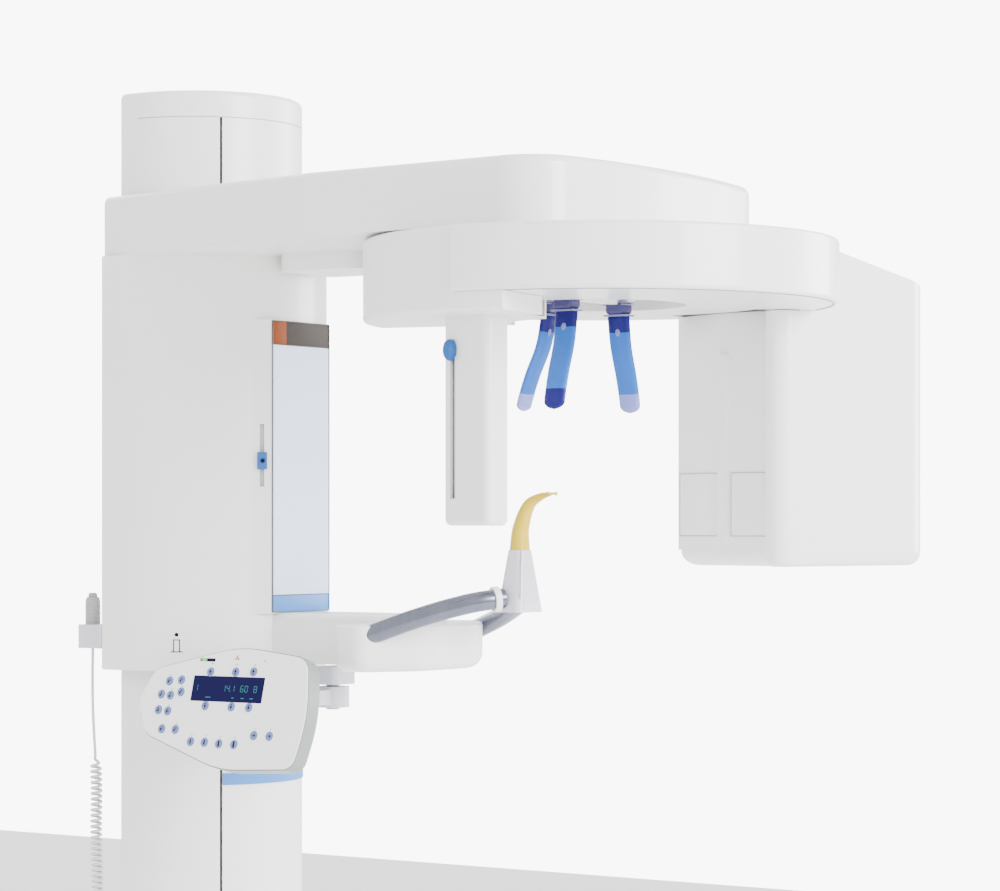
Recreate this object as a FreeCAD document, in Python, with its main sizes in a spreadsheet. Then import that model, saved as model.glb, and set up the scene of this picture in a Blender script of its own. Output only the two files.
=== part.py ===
import FreeCAD, Part
import math
import os

# Panoramic dental x-ray machine. Millimetres, +Z up, origin on the floor under the column's axis.
# The patient stands on the -Y side and faces +Y; the wall is behind the column at +Y.

DIMS = {
    # column
    "columnRadius": 138, "columnWall": 5, "columnBack": 32, "columnTop": 2214, "capTop": 2250,
    "basePlate": 12, "coverGapAngle": 40, "coverGap": 3.5, "bandBase": 1314, "bandTop": 1330,
    "wallFace": 118, "wallBracketBase": 2045, "wallBracketTop": 2105,
    # lift drive
    "railBase": 700, "railTop": 2190, "railOffset": 60, "railWidth": 20, "railFront": 9, "backInner": 27,
    "screwOffset": 55, "screwRadius": 10, "journalRadius": 7, "nutClear": 0.3, "motorTop": 556,
    # carriage
    "carrierRadius": 172, "carrierBack": 35, "coverWall": 4, "carrierBase": 1469, "carrierTop": 1545,
    "carriageTop": 2027, "mirrorTop": 1940, "mirrorHalf": 62.5, "mirrorFace": 171, "bezelHalf": 79.7,
    "trolleyBase": 1560, "trolleyTop": 2010, "slotBase": 1716, "slotTop": 1800, "sliderBase": 1739,
    # lower arm
    "armHalf": 52, "armBase": 1479, "armTop": 1546, "armEnd": 395, "trayBase": 1474, "trayTop": 1535,
    "handleRadius": 13, "collarGrow": 3.5,
    # upper arm
    "archBase": 2027, "archTop": 2109, "plateTop": 2031, "frameTop": 2043, "axisOffset": 650,
    "hubRadius": 49.95, "hubBore": 34, "pulleyRadius": 78, "motorPulleyRadius": 15, "motorOffset": 235,
    "beltGap": 0.3, "beltThickness": 3,
    # rotating unit
    "beamAngle": -15, "ringRadius": 305, "ringBase": 1944, "ringTop": 2024, "blockBase": 1921,
    "sensorBase": 1664, "sensorHalf": 42, "sensorInner": 185, "sensorOuter": 223,
    "collimatorBase": 1631, "collimatorNear": 79.5, "collimatorFar": 108,
    "tubeFront": 255, "tubeBack": 520, "tubeHalf": 110,
    "tubeBase": 1610, "tubeTop": 2026, "tubeCorner": 50,
    # head supports
    "discRadius": 95, "fingerTop": 1940, "fingerTip": 1803,
    "fingerWidth": 30, "fingerThickness": 8,
    # bite holder
    "biteOffset": 530, "biteSeat": 1552, "biteTop": 1632,
    # control panel
    "panelThickness": 32, "panelTilt": 15, "panelX": -212, "panelY": -200, "panelZ": 1431,
    # hand switch
    "switchX": -150, "switchY": 69, "switchRadius": 10,
    "leadRadius": 2, "coilRadius": 8.5,
}

doc = FreeCAD.newDocument("PanoramicXray")
sheet = doc.addObject("Spreadsheet::Sheet", "Dims")
for row, (alias, value) in enumerate(DIMS.items(), start=1):
    sheet.set("A%d" % row, alias)
    sheet.set("B%d" % row, str(value))
    sheet.setAlias("B%d" % row, alias)
doc.recompute()

NODES = []
V = FreeCAD.Vector
COLUMN_R = DIMS["columnRadius"]
COLUMN_INNER = COLUMN_R - DIMS["columnWall"]
CARRIER_R = DIMS["carrierRadius"]
CARRIER_INNER = CARRIER_R - DIMS["coverWall"]
AXIS_Y = -DIMS["axisOffset"]
SCREW_Y = -DIMS["screwOffset"]
UP = FreeCAD.Rotation()
ROTOR = FreeCAD.Placement(V(0, AXIS_Y, 0), FreeCAD.Rotation(V(0, 0, 1), DIMS["beamAngle"]))


# ---------------------------------------------------------------- helpers
def node(obj, label, placement=None):
    """Give a finished object its node name and place."""
    obj.Label = label
    if placement is not None:
        obj.Placement = placement
    NODES.append(obj)
    return obj


def bind(obj, prop, value):
    """Bind a property to a sheet expression, or set a plain number."""
    if isinstance(value, str):
        obj.setExpression(prop, value)
    else:
        setattr(obj, prop, value)


def polar(radius, degrees):
    """Point at a radius, with the angle counted from the +X axis."""
    return (radius * math.cos(math.radians(degrees)), radius * math.sin(math.radians(degrees)))


def add_outline(sketch, outline):
    """Draw a closed outline: (x, y) is a line to a point, (mx, my, x, y) an arc through m to it."""
    if outline[0] == "circle":
        _, x, y, radius = outline
        sketch.addGeometry(Part.Circle(V(x, y, 0), V(0, 0, 1), radius), False)
        return
    start = V(*outline[0], 0)
    here = start
    for step in list(outline[1:]) + [outline[0]]:
        there = V(step[-2], step[-1], 0)
        if len(step) == 4:
            sketch.addGeometry(Part.Arc(here, V(step[0], step[1], 0), there), False)
        elif (there - here).Length > 1e-6:
            sketch.addGeometry(Part.LineSegment(here, there), False)
        here = there


def box_outline(x0, x1, y0, y1):
    """Rectangle from its limits."""
    return [(x0, y0), (x1, y0), (x1, y1), (x0, y1)]


def rounded_box(x0, x1, y0, y1, radius):
    """Rectangle with four round corners."""
    k = radius * (1 - math.sqrt(0.5))
    return [(x0 + radius, y0), (x1 - radius, y0), (x1 - k, y0 + k, x1, y0 + radius),
            (x1, y1 - radius), (x1 - k, y1 - k, x1 - radius, y1), (x0 + radius, y1),
            (x0 + k, y1 - k, x0, y1 - radius), (x0, y0 + radius), (x0 + k, y0 + k, x0 + radius, y0)]


def rounded_outline(corners, grow=0):
    """Anticlockwise polygon of (x, y, corner radius), grown outwards, with tangent arcs at its corners."""
    moved = []
    count = len(corners)
    for i, (x, y, radius) in enumerate(corners):
        here = V(x, y, 0)
        into = (here - V(*corners[i - 1][:2], 0)).normalize()
        out = (V(*corners[(i + 1) % count][:2], 0) - here).normalize()
        half_turn = into.getAngle(out) / 2
        outward = (into - out).normalize()
        moved.append((here + outward * (grow / math.cos(half_turn)), into, out, half_turn, radius + grow))
    outline = []
    for point, into, out, half_turn, radius in moved:
        setback = radius * math.tan(half_turn)
        start = point - into * setback
        end = point + out * setback
        inward = (out - into).normalize()
        middle = point + inward * (radius / math.cos(half_turn) - radius)
        outline += [(start.x, start.y), (middle.x, middle.y, end.x, end.y)]
    return outline


def new_body(name):
    """Empty PartDesign body."""
    return doc.addObject("PartDesign::Body", name)


def new_sketch(body, outlines, plane="XY_Plane", offset=0):
    """Sketch on one of the body's own origin planes, moved along its normal by a number or expression."""
    sketch = body.newObject("Sketcher::SketchObject", body.Name + "Sketch")
    support = [f for f in body.Origin.OriginFeatures if f.Role == plane][0]
    sketch.AttachmentSupport = [(support, "")]
    sketch.MapMode = "FlatFace"
    if isinstance(offset, str):
        sketch.setExpression("AttachmentOffset.Base.z", offset)
    else:
        sketch.AttachmentOffset = FreeCAD.Placement(V(0, 0, offset), UP)
    for outline in outlines:
        add_outline(sketch, outline)
    return sketch


def pad(body, outlines, base, length, plane="XY_Plane"):
    """Pad outlines from a base height by a length."""
    feature = body.newObject("PartDesign::Pad", body.Name + "Pad")
    feature.Profile = new_sketch(body, outlines, plane, base)
    bind(feature, "Length", length)
    return feature


def pocket(body, outlines, base, length, plane="XY_Plane", reverse=True):
    """Cut outlines out of the body; reversed cuts run along the plane's normal."""
    before = solid_volume(body)
    feature = body.newObject("PartDesign::Pocket", body.Name + "Pocket")
    feature.Profile = new_sketch(body, outlines, plane, base)
    bind(feature, "Length", length)
    feature.Reversed = reverse
    if solid_volume(body) >= before - 1e-3:
        raise RuntimeError("pocket cuts nothing in " + body.Name)
    return feature


def solid_volume(body):
    """Volume of a body after a recompute."""
    doc.recompute()
    return body.Shape.Volume


def turn(body, outline, angle=360):
    """Revolve an (r, z) outline about the body's Z axis."""
    sketch = new_sketch(body, [outline], "XZ_Plane")
    feature = body.newObject("PartDesign::Revolution", body.Name + "Turn")
    feature.Profile = sketch
    feature.ReferenceAxis = (sketch, ["V_Axis"])
    feature.Angle = angle
    return feature


def round_edges(body, radius, pick):
    """Fillet the edges that pick(edge) accepts."""
    doc.recompute()
    base = body.Tip
    names = ["Edge%d" % i for i, edge in enumerate(base.Shape.Edges, start=1) if pick(edge)]
    feature = body.newObject("PartDesign::Fillet", body.Name + "Fillet")
    feature.Base = (base, names)
    feature.Radius = radius
    return feature


def at_height(z):
    """Accept edges that lie wholly at one height."""
    return lambda edge: abs(edge.BoundBox.ZMin - z) < 0.01 and abs(edge.BoundBox.ZMax - z) < 0.01


def slab(label, outlines, base, length, placement=None):
    """One-pad body as a finished node."""
    body = new_body(label)
    pad(body, outlines, base, length)
    return node(body, label, placement)


def part_slab(name, outlines, base, length):
    """One-pad body that other objects use."""
    body = new_body(name)
    pad(body, outlines, base, length)
    return body


def turned_piece(name, outline, x=0, y=0):
    """Turned body on a vertical axis, for other objects to use."""
    body = new_body(name)
    turn(body, outline)
    body.Placement = FreeCAD.Placement(V(x, y, 0), UP)
    return body


def turned(label, outline, x=0, y=0):
    """Turned node standing on a vertical axis."""
    return node(turned_piece(label, outline, x, y), label)


def cut(label, base, tools, placement=None):
    """Base minus tools, as a finished node."""
    tool = tools[0]
    if len(tools) > 1:
        tool = doc.addObject("Part::MultiFuse", label + "Tools")
        tool.Shapes = tools
    result = doc.addObject("Part::Cut", label)
    result.Base = base
    result.Tool = tool
    return node(result, label, placement)


def fuse(label, pieces, placement=None):
    """Union of pieces, as a finished node."""
    result = doc.addObject("Part::MultiFuse", label)
    result.Shapes = pieces
    return node(result, label, placement)


def compound(label, pieces, placement=None):
    """Separate identical solids that share one node."""
    result = doc.addObject("Part::Compound", label)
    result.Links = pieces
    return node(result, label, placement)


def cylinder(name, radius, height, base, direction=V(0, 0, 1)):
    """Part cylinder whose sizes may be expressions."""
    obj = doc.addObject("Part::Cylinder", name)
    bind(obj, "Radius", radius)
    bind(obj, "Height", height)
    obj.Placement = FreeCAD.Placement(base, FreeCAD.Rotation(V(0, 0, 1), direction))
    return obj


def block(name, x0, x1, y0, y1, z0, z1):
    """Part box from its limits."""
    obj = doc.addObject("Part::Box", name)
    obj.Length = x1 - x0
    obj.Width = y1 - y0
    obj.Height = z1 - z0
    obj.Placement = FreeCAD.Placement(V(x0, y0, z0), UP)
    return obj


def rotor_block(name, x0, x1, y0, y1, z0, z1):
    """Part box from its limits in the rotating unit's frame."""
    obj = block(name, x0, x1, y0, y1, z0, z1)
    obj.Placement = ROTOR.multiply(obj.Placement)
    return obj


def raw(label, shape, placement=None):
    """Node whose shape needs Part's own functions."""
    obj = doc.addObject("Part::Feature", label)
    obj.Shape = shape
    return node(obj, label, placement)


def smooth_tube(points, radius):
    """Tube along straight runs joined by tangent arcs, each as large as its two runs allow."""
    pts = [V(*p) for p in points]
    edges = []
    radii = []
    here = pts[0]
    for before, corner, after in zip(pts, pts[1:], pts[2:]):
        into = (corner - before).normalize()
        out = (after - corner).normalize()
        half_turn = into.getAngle(out) / 2
        setback = 0.45 * min((corner - before).Length, (after - corner).Length)
        start = corner - into * setback
        end = corner + out * setback
        arc_radius = setback / math.tan(half_turn)
        inward = (out - into).normalize()
        middle = corner + inward * (arc_radius / math.cos(half_turn) - arc_radius)
        edges.append(Part.LineSegment(here, start).toShape())
        edges.append(Part.Arc(start, middle, end).toShape())
        radii.append(round(arc_radius, 1))
        here = end
    edges.append(Part.LineSegment(here, pts[-1]).toShape())
    path = Part.Wire(edges)
    first = (pts[1] - pts[0]).normalize()
    profile = Part.Wire([Part.Circle(pts[0], first, radius).toShape()])
    tube = path.makePipeShell([profile], True, True)
    section = math.pi * radius ** 2
    print("tube radii", radii, "length", round(path.Length, 1),
          "volume ratio", round(tube.Volume / (section * path.Length), 4))
    return tube


# ---------------------------------------------------------------- column
def half_round(radius, back, corner):
    """Outline round at the front (-Y) and flat at the back, with rounded rear corners."""
    k = corner * (1 - math.sqrt(0.5))
    return [(radius, 0), (radius, back - corner), (radius - k, back - k, radius - corner, back),
            (corner - radius, back), (k - radius, back - k, -radius, back - corner),
            (-radius, 0), (0, -radius, radius, 0)]


def arc_strip(inner, outer, first, last):
    """Ring sector between two angles."""
    middle = (first + last) / 2
    return [polar(outer, first), polar(outer, middle) + polar(outer, last), polar(inner, last),
            polar(inner, middle) + polar(inner, first)]


def build_column():
    gap = math.degrees(DIMS["coverGap"] / 2 / COLUMN_R)
    side = -90 + DIMS["coverGapAngle"] + gap
    back = DIMS["columnBack"]
    inner_back = DIMS["backInner"]
    shell = [polar(COLUMN_R, side), polar(COLUMN_R, side / 2) + (COLUMN_R, 0), (COLUMN_R, back - 6),
             (COLUMN_R - 1.8, back - 1.8, COLUMN_R - 6, back), (6 - COLUMN_R, back),
             (1.8 - COLUMN_R, back - 1.8, -COLUMN_R, back - 6), (-COLUMN_R, 0),
             polar(COLUMN_R, -180 - side / 2) + polar(COLUMN_R, -180 - side),
             polar(COLUMN_INNER, -180 - side), polar(COLUMN_INNER, -180 - side / 2) + (-COLUMN_INNER, 0),
             (-COLUMN_INNER, inner_back), (COLUMN_INNER, inner_back), (COLUMN_INNER, 0),
             polar(COLUMN_INNER, side / 2) + polar(COLUMN_INNER, side)]
    height = "Dims.columnTop - Dims.basePlate"
    slab("column_profile", [shell], "Dims.basePlate", height)
    front = -90 + DIMS["coverGapAngle"] - gap
    slab("column_front_cover", [arc_strip(COLUMN_INNER, COLUMN_R, -180 - front, front)],
         "Dims.basePlate", height)
    slab("column_band", [arc_strip(COLUMN_R, COLUMN_R + 1.5, -180 - front, front)], "Dims.bandBase",
         "Dims.bandTop - Dims.bandBase")
    plate = rounded_box(-190, 190, -190, 100, 20)
    holes = [("circle", x, y, 7) for x in (-155, 155) for y in (-155, 65)]
    slab("base_plate", [plate] + holes, 0, "Dims.basePlate")
    cap = new_body("column_cap")
    pad(cap, [half_round(COLUMN_R, back, 6)], "Dims.columnTop", "Dims.capTop - Dims.columnTop")
    round_edges(cap, 8, at_height(DIMS["capTop"]))
    pocket(cap, [half_round(COLUMN_INNER, inner_back, 3)], "Dims.columnTop", 28)
    node(cap, "column_cap")


def build_wall_bracket():
    wall = DIMS["wallFace"]
    back = DIMS["columnBack"]
    foot = wall - 6
    face = back + 5
    outline = [(-70, back), (70, back), (70, face), (35, face), (35, foot), (70, foot), (70, wall), (-70, wall),
               (-70, foot), (-35, foot), (-35, face), (-70, face)]
    bracket = new_body("wall_bracket")
    pad(bracket, [outline, box_outline(-30, 30, face, foot)], "Dims.wallBracketBase",
        "Dims.wallBracketTop - Dims.wallBracketBase")
    middle = (DIMS["wallBracketBase"] + DIMS["wallBracketTop"]) / 2
    holes = [("circle", x, middle, 5.5) for x in (-54, 54)]
    pocket(bracket, holes, -wall - 1, 10, "XZ_Plane")
    node(bracket, "wall_bracket")


def build_lift_drive():
    front = DIMS["railFront"]
    half = DIMS["railWidth"] / 2
    rails = [part_slab("Rail%d" % i, [box_outline(x - half, x + half, front, DIMS["backInner"])],
                       "Dims.railBase", "Dims.railTop - Dims.railBase")
             for i, x in enumerate((-DIMS["railOffset"], DIMS["railOffset"]))]
    compound("guide_rails", rails)
    core = DIMS["screwRadius"]
    neck = DIMS["journalRadius"]
    coupling = 16
    low = DIMS["motorTop"] + 1
    turned("lift_screw", [(0, low), (coupling, low), (coupling, low + 32), (neck, low + 32), (neck, 628),
                          (core, 628), (core, 2155), (neck, 2155), (neck, 2186), (0, 2186)], 0, SCREW_Y)
    blocks = [part_slab("ScrewBearing%d" % base, [box_outline(-38, 38, SCREW_Y - 25, DIMS["backInner"]),
                                                  ("circle", 0, SCREW_Y, neck + 0.05)], base, 24)
              for base in (602, 2158)]
    compound("screw_bearings", blocks)
    motor = part_slab("LiftMotorBody", [rounded_box(-45, 45, SCREW_Y - 45, SCREW_Y + 45, 8)], 430,
                      "Dims.motorTop - 430")
    foot = part_slab("LiftMotorFoot", [box_outline(-45, 45, SCREW_Y + 40, DIMS["backInner"])], 450, 90)
    fuse("lift_motor", [motor, foot])
    case = part_slab("SupplyCase", [rounded_box(-70, 70, -45, DIMS["backInner"], 4)], 150, 190)
    board = part_slab("BoardPlate", [rounded_box(-62, 62, -57, -55, 0.9)], 165, 160)
    posts = [cylinder("BoardPost%d" % i, 3, 10, V(x, -45, z), V(0, -1, 0))
             for i, (x, z) in enumerate(((-55, 175), (55, 175), (-55, 315), (55, 315)))]
    fuse("power_supply", [case, board] + posts)


# ---------------------------------------------------------------- carriage
def build_trolley():
    plate = part_slab("TrolleyPlate", [box_outline(-88, 88, -11, -3)], "Dims.trolleyBase",
                      "Dims.trolleyTop - Dims.trolleyBase")
    reach = math.sqrt(24 ** 2 - 8 ** 2)
    nut_outline = [(8, -11), (-8, -11), (-8, SCREW_Y + reach), (0, SCREW_Y - 24, 8, SCREW_Y + reach)]
    nut = part_slab("TrolleyNut", [nut_outline, ("circle", 0, SCREW_Y, DIMS["screwRadius"] + DIMS["nutClear"])],
                    1770, 34)
    pieces = [plate, nut]
    for x in (-DIMS["railOffset"], DIMS["railOffset"]):
        for base in (1570, 1915):
            slot = DIMS["railWidth"] / 2 + 0.3
            bottom = DIMS["railFront"] - 0.3
            shape = [(x - 22, -3), (x + 22, -3), (x + 22, 24), (x + slot, 24), (x + slot, bottom),
                     (x - slot, bottom), (x - slot, 24), (x - 22, 24)]
            pieces.append(part_slab("GuideBlock%d" % len(pieces), [shape], base, 80))
    fuse("trolley", pieces)


def build_carriage_frame():
    outer = CARRIER_INNER
    shell = new_body("FrameShell")
    pad(shell, [arc_strip(outer - 6, outer, -162, -18)], 1500, "Dims.carriageTop - 1500")
    pocket(shell, [box_outline(-92, 92, 1545, 1985)], 50, 200, "XZ_Plane")
    pieces = [shell]
    angle = math.radians(DIMS["coverGapAngle"])
    along = V(math.sin(angle), -math.cos(angle), 0)
    across = V(math.cos(angle), math.sin(angle), 0)
    for side in (1, -1):
        ends = []
        for offset in (1.25, -1.25):
            start = (11 + offset * across.y) / -along.y
            ends.append(along * start + across * offset)
        far = [along * (outer - 4) + across * offset for offset in (-1.25, 1.25)]
        outline = [(side * p.x, p.y) for p in ends + far]
        pieces.append(part_slab("Wing%d" % len(pieces), [outline], "Dims.trolleyBase",
                                "Dims.trolleyTop - Dims.trolleyBase"))
    beam_end = -DIMS["armEnd"] + 50
    pieces.append(part_slab("ArmBeam", [box_outline(-30, 30, beam_end, 1 - outer)], 1503, 26))
    fuse("carriage_frame", pieces)


def carrier_outline(radius, back):
    """Open shell that wraps the column's front and sides, with short lips at the back."""
    wall = DIMS["coverWall"]
    inner = radius - wall
    return [(radius, 0), (radius, back - 3), (radius - 0.9, back - 0.9, radius - 3, back), (146, back),
            (146, back - wall), (inner, back - wall), (inner, 0), (0, -inner, -inner, 0),
            (-inner, back - wall), (-146, back - wall), (-146, back), (3 - radius, back),
            (0.9 - radius, back - 0.9, -radius, back - 3), (-radius, 0), (0, -radius, radius, 0)]


def build_carriage_cover():
    cover = new_body("carriage_cover")
    pad(cover, [carrier_outline(CARRIER_R, DIMS["carrierBack"])], "Dims.carrierTop",
        "Dims.carriageTop - Dims.carrierTop")
    half = DIMS["bezelHalf"]
    pocket(cover, [box_outline(-half, half, DIMS["carrierTop"] - 1, DIMS["mirrorTop"])], 50, 200, "XZ_Plane")
    node(cover, "carriage_cover")


def build_mirror():
    half = DIMS["bezelHalf"]
    flat = DIMS["mirrorHalf"]
    face = -DIMS["mirrorFace"]
    edge = -math.sqrt(CARRIER_R ** 2 - half ** 2)
    rear = -math.sqrt(CARRIER_INNER ** 2 - half ** 2)
    bezel = new_body("mirror_bezel")
    pad(bezel, [[(half, rear), (half, edge), (flat, face), (-flat, face), (-half, edge), (-half, rear)]],
        "Dims.carrierTop", "Dims.mirrorTop - Dims.carrierTop")
    pocket(bezel, [[(half - 5, rear + 1), (half - 5, edge), (flat - 2, face + 4), (2 - flat, face + 4),
                    (5 - half, edge), (5 - half, rear + 1)]], "Dims.carrierTop + 4", 387)
    flank = flank_frame()
    slot = part_slab("LightSlot", [box_outline(-3, 3, -12, 6)], "Dims.slotBase", "Dims.slotTop - Dims.slotBase")
    slot.Placement = flank
    cut("mirror_frame", bezel, [slot])
    pane = [box_outline(-flat + 0.8, flat - 0.8, face - 2, face)]
    slab("mirror_pane", pane, 1570, 337)
    strips = [part_slab("MirrorTopStrip", pane, 1907, 32), part_slab("MirrorFootBand", pane, 1547, 23)]
    compound("mirror_bands", strips)


def flank_frame():
    """Frame on the mirror's left bevel: X along the bevel, Y out of it."""
    half = DIMS["bezelHalf"]
    edge = -math.sqrt(CARRIER_R ** 2 - half ** 2)
    flat = DIMS["mirrorHalf"]
    face = -DIMS["mirrorFace"]
    middle = V(-(half + flat) / 2, (edge + face) / 2, 0)
    angle = math.degrees(math.atan2(face - edge, half - flat))
    return FreeCAD.Placement(middle, FreeCAD.Rotation(V(0, 0, 1), angle + 180))


def build_layer_light():
    outline = [(-6.5, 0.4), (6.5, 0.4), (6.5, 6), (-6.5, 6)]
    knob = new_body("LightKnob")
    pad(knob, [outline], "Dims.sliderBase", 23)
    round_edges(knob, 1.5, lambda e: abs(e.BoundBox.YMin - 6) < 0.01 and abs(e.BoundBox.YMax - 6) < 0.01)
    inside = [(-2.6, 1), (-2.6, -6), (-7, -6), (-7, -18), (5, -18), (5, -6), (2.6, -6), (2.6, 1)]
    fuse("light_slider", [knob, part_slab("LightModule", [inside], "Dims.sliderBase", 23)], flank_frame())


# ---------------------------------------------------------------- lower arm
def build_lower_arm():
    band = new_body("lower_carrier")
    pad(band, [carrier_outline(CARRIER_R, DIMS["carrierBack"])], "Dims.carrierBase",
        "Dims.carrierTop - Dims.carrierBase")
    round_edges(band, 3, lambda e: at_height(DIMS["carrierBase"])(e) and e.BoundBox.XLength > 340)
    pocket(band, [box_outline(-30.3, 30.3, 1502.7, 1529.3)], 100, 100, "XZ_Plane")
    node(band, "lower_carrier")
    half = DIMS["armHalf"]
    root = -math.sqrt(CARRIER_R ** 2 - half ** 2)
    end = -DIMS["armEnd"]
    arm = new_body("ArmBar")
    pad(arm, [[(half, root), (half, end + 40), (half * 0.7, end + 6, 0, end),
               (-half * 0.7, end + 6, -half, end + 40), (-half, root), (0, -CARRIER_R, half, root)]],
        "Dims.armBase", "Dims.armTop - Dims.armBase")
    round_edges(arm, 9, lambda e: at_height(DIMS["armTop"])(e) and e.BoundBox.YMin < root - 5)
    cavity = part_slab("ArmCavity", [box_outline(-half + 5, half - 5, end + 45, root + 8)], 1485, 50)
    bowl = new_body("TrayBowl")
    pad(bowl, [rounded_outline(BOWL_CORNERS)], "Dims.trayBase", "Dims.trayTop - Dims.trayBase")
    round_edges(bowl, 21, at_height(DIMS["trayBase"]))
    round_edges(bowl, 4, at_height(DIMS["trayTop"]))
    hollow = part_slab("BowlCavity", [rounded_box(-100, 100, -400, -332, 12)], 1486, 36)
    whole = doc.addObject("Part::MultiFuse", "ArmWhole")
    whole.Shapes = [arm, bowl]
    sockets = [feature("Socket%d" % i, bar) for i, bar in enumerate(HANDLE_BARS)]
    cut("lower_arm", whole, [cavity, hollow] + sockets)


BOWL_CORNERS = [(-139, -376, 26), (-62, -429, 70), (62, -429, 70), (139, -376, 26), (136, -320, 22),
                (-136, -320, 22)]
HANDLE_ROUTE = [(121, -360, 1517), (118, -382, 1524), (108, -425, 1540), (84, -465, 1555), (54, -499, 1566),
                (24, -521, 1570)]


def handle_points(side):
    """Route of one handle's axis from inside the tray to inside the bite holder."""
    return [V(side * x, y, z) for x, y, z in HANDLE_ROUTE]


HANDLE_BARS = [smooth_tube(handle_points(side), DIMS["handleRadius"]) for side in (-1, 1)]


def feature(name, shape):
    """Plain shape as an object that other objects use."""
    obj = doc.addObject("Part::Feature", name)
    obj.Shape = shape
    return obj


def handle_collar(side):
    """Solid disc round a handle where it enters the bite holder."""
    before, end = handle_points(side)[-2:]
    along = (end - before).normalize()
    return Part.makeCylinder(DIMS["handleRadius"] + DIMS["collarGrow"], 8, end - along * 15, along)


def build_handles():
    rings = [handle_collar(side).cut(bar) for side, bar in zip((-1, 1), HANDLE_BARS)]
    raw("handle_collars", Part.makeCompound(rings))
    raw("patient_handles", Part.makeCompound(HANDLE_BARS))


def build_bite():
    y = -DIMS["biteOffset"]
    holder = new_body("BiteWedge")
    loft = holder.newObject("PartDesign::AdditiveLoft", "BiteHolderLoft")
    loft.Profile = new_sketch(holder, [rounded_box(-29, 29, y - 20, y + 20, 10)], "XY_Plane", "Dims.biteSeat")
    loft.Sections = [new_sketch(holder, [rounded_box(-14, 14, y - 12, y + 12, 8)], "XY_Plane", "Dims.biteTop")]
    doc.recompute()
    pocket(holder, [("circle", 0, y, 5.3)], "Dims.biteTop", 26, "XY_Plane", False)
    sockets = [feature("HolderSocket%d" % i, bar) for i, bar in enumerate(HANDLE_BARS)]
    seats = [feature("CollarSeat%d" % i, handle_collar(side)) for i, side in enumerate((-1, 1))]
    cut("bite_holder", holder, sockets + seats)
    top = DIMS["biteTop"]
    stem = smooth_tube([(0, y, top - 22), (0, y, top + 34), (0, y - 22, top + 68), (0, y - 50, top + 72)], 5)
    bar = Part.makeCylinder(3.2, 24, V(-12, y - 50, top + 72), V(1, 0, 0))
    collar = Part.makeCylinder(11, 6, V(0, y, top + 0.4))
    raw("bite_piece", stem.fuse([bar, collar]).removeSplitter())


# ---------------------------------------------------------------- upper arm
def arch_outline(inset, notch):
    """Upper arm in plan: wide rounded front, sides closing towards the column, a notch round the column."""
    back = 39 - inset
    side = 160 - inset
    wide = 267 - inset
    corner = 205
    front = -748 + inset
    return [(notch, back), (side, back), (wide - 24, -365), (wide - 3, -668),
            (wide - 17, -722, corner - inset / 2, front), (0, -768 + inset, inset / 2 - corner, front),
            (17 - wide, -722, 3 - wide, -668), (24 - wide, -365), (-side, back), (-notch, back),
            (-notch, 0), (0, -notch, notch, 0)]


def build_upper_arm():
    cover = new_body("ArchSkin")
    pad(cover, [arch_outline(0, 143)], "Dims.plateTop", "Dims.archTop - Dims.plateTop")
    round_edges(cover, 12, lambda e: at_height(DIMS["archTop"])(e) and e.BoundBox.YMin < -300)
    cavity = part_slab("ArchCavity", [arch_outline(5, 148)], "Dims.plateTop", 73)
    cut("upper_arm_cover", cover, [cavity])
    motor_window = box_outline(-30, 30, -DIMS["motorOffset"] - 30, -DIMS["motorOffset"] + 30)
    plate = part_slab("ArchPlate", [arch_outline(0, 143), ("circle", 0, AXIS_Y, 56), motor_window],
                      "Dims.archBase", "Dims.plateTop - Dims.archBase")
    frame = [(135, -70), (135, -650), (97, -724, 0, -750), (-97, -724, -135, -650), (-135, -70),
             (0, -152, 135, -70)]
    windows = [rounded_box(side * 75 - 25, side * 75 + 25, -540, -330, 12) for side in (-1, 1)]
    slab("upper_arm_frame", [frame, ("circle", 0, AXIS_Y, 60), motor_window] + windows, "Dims.plateTop",
         "Dims.frameTop - Dims.plateTop")
    neck = new_body("MotorShroud")
    pad(neck, [rounded_box(-60, 60, -305, -176, 20)], 2004, "Dims.archBase - 2004")
    pocket(neck, [rounded_box(-56, 56, -301, -180, 16)], 2008, 40)
    fuse("upper_arm_plate", [plate, neck])


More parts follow.
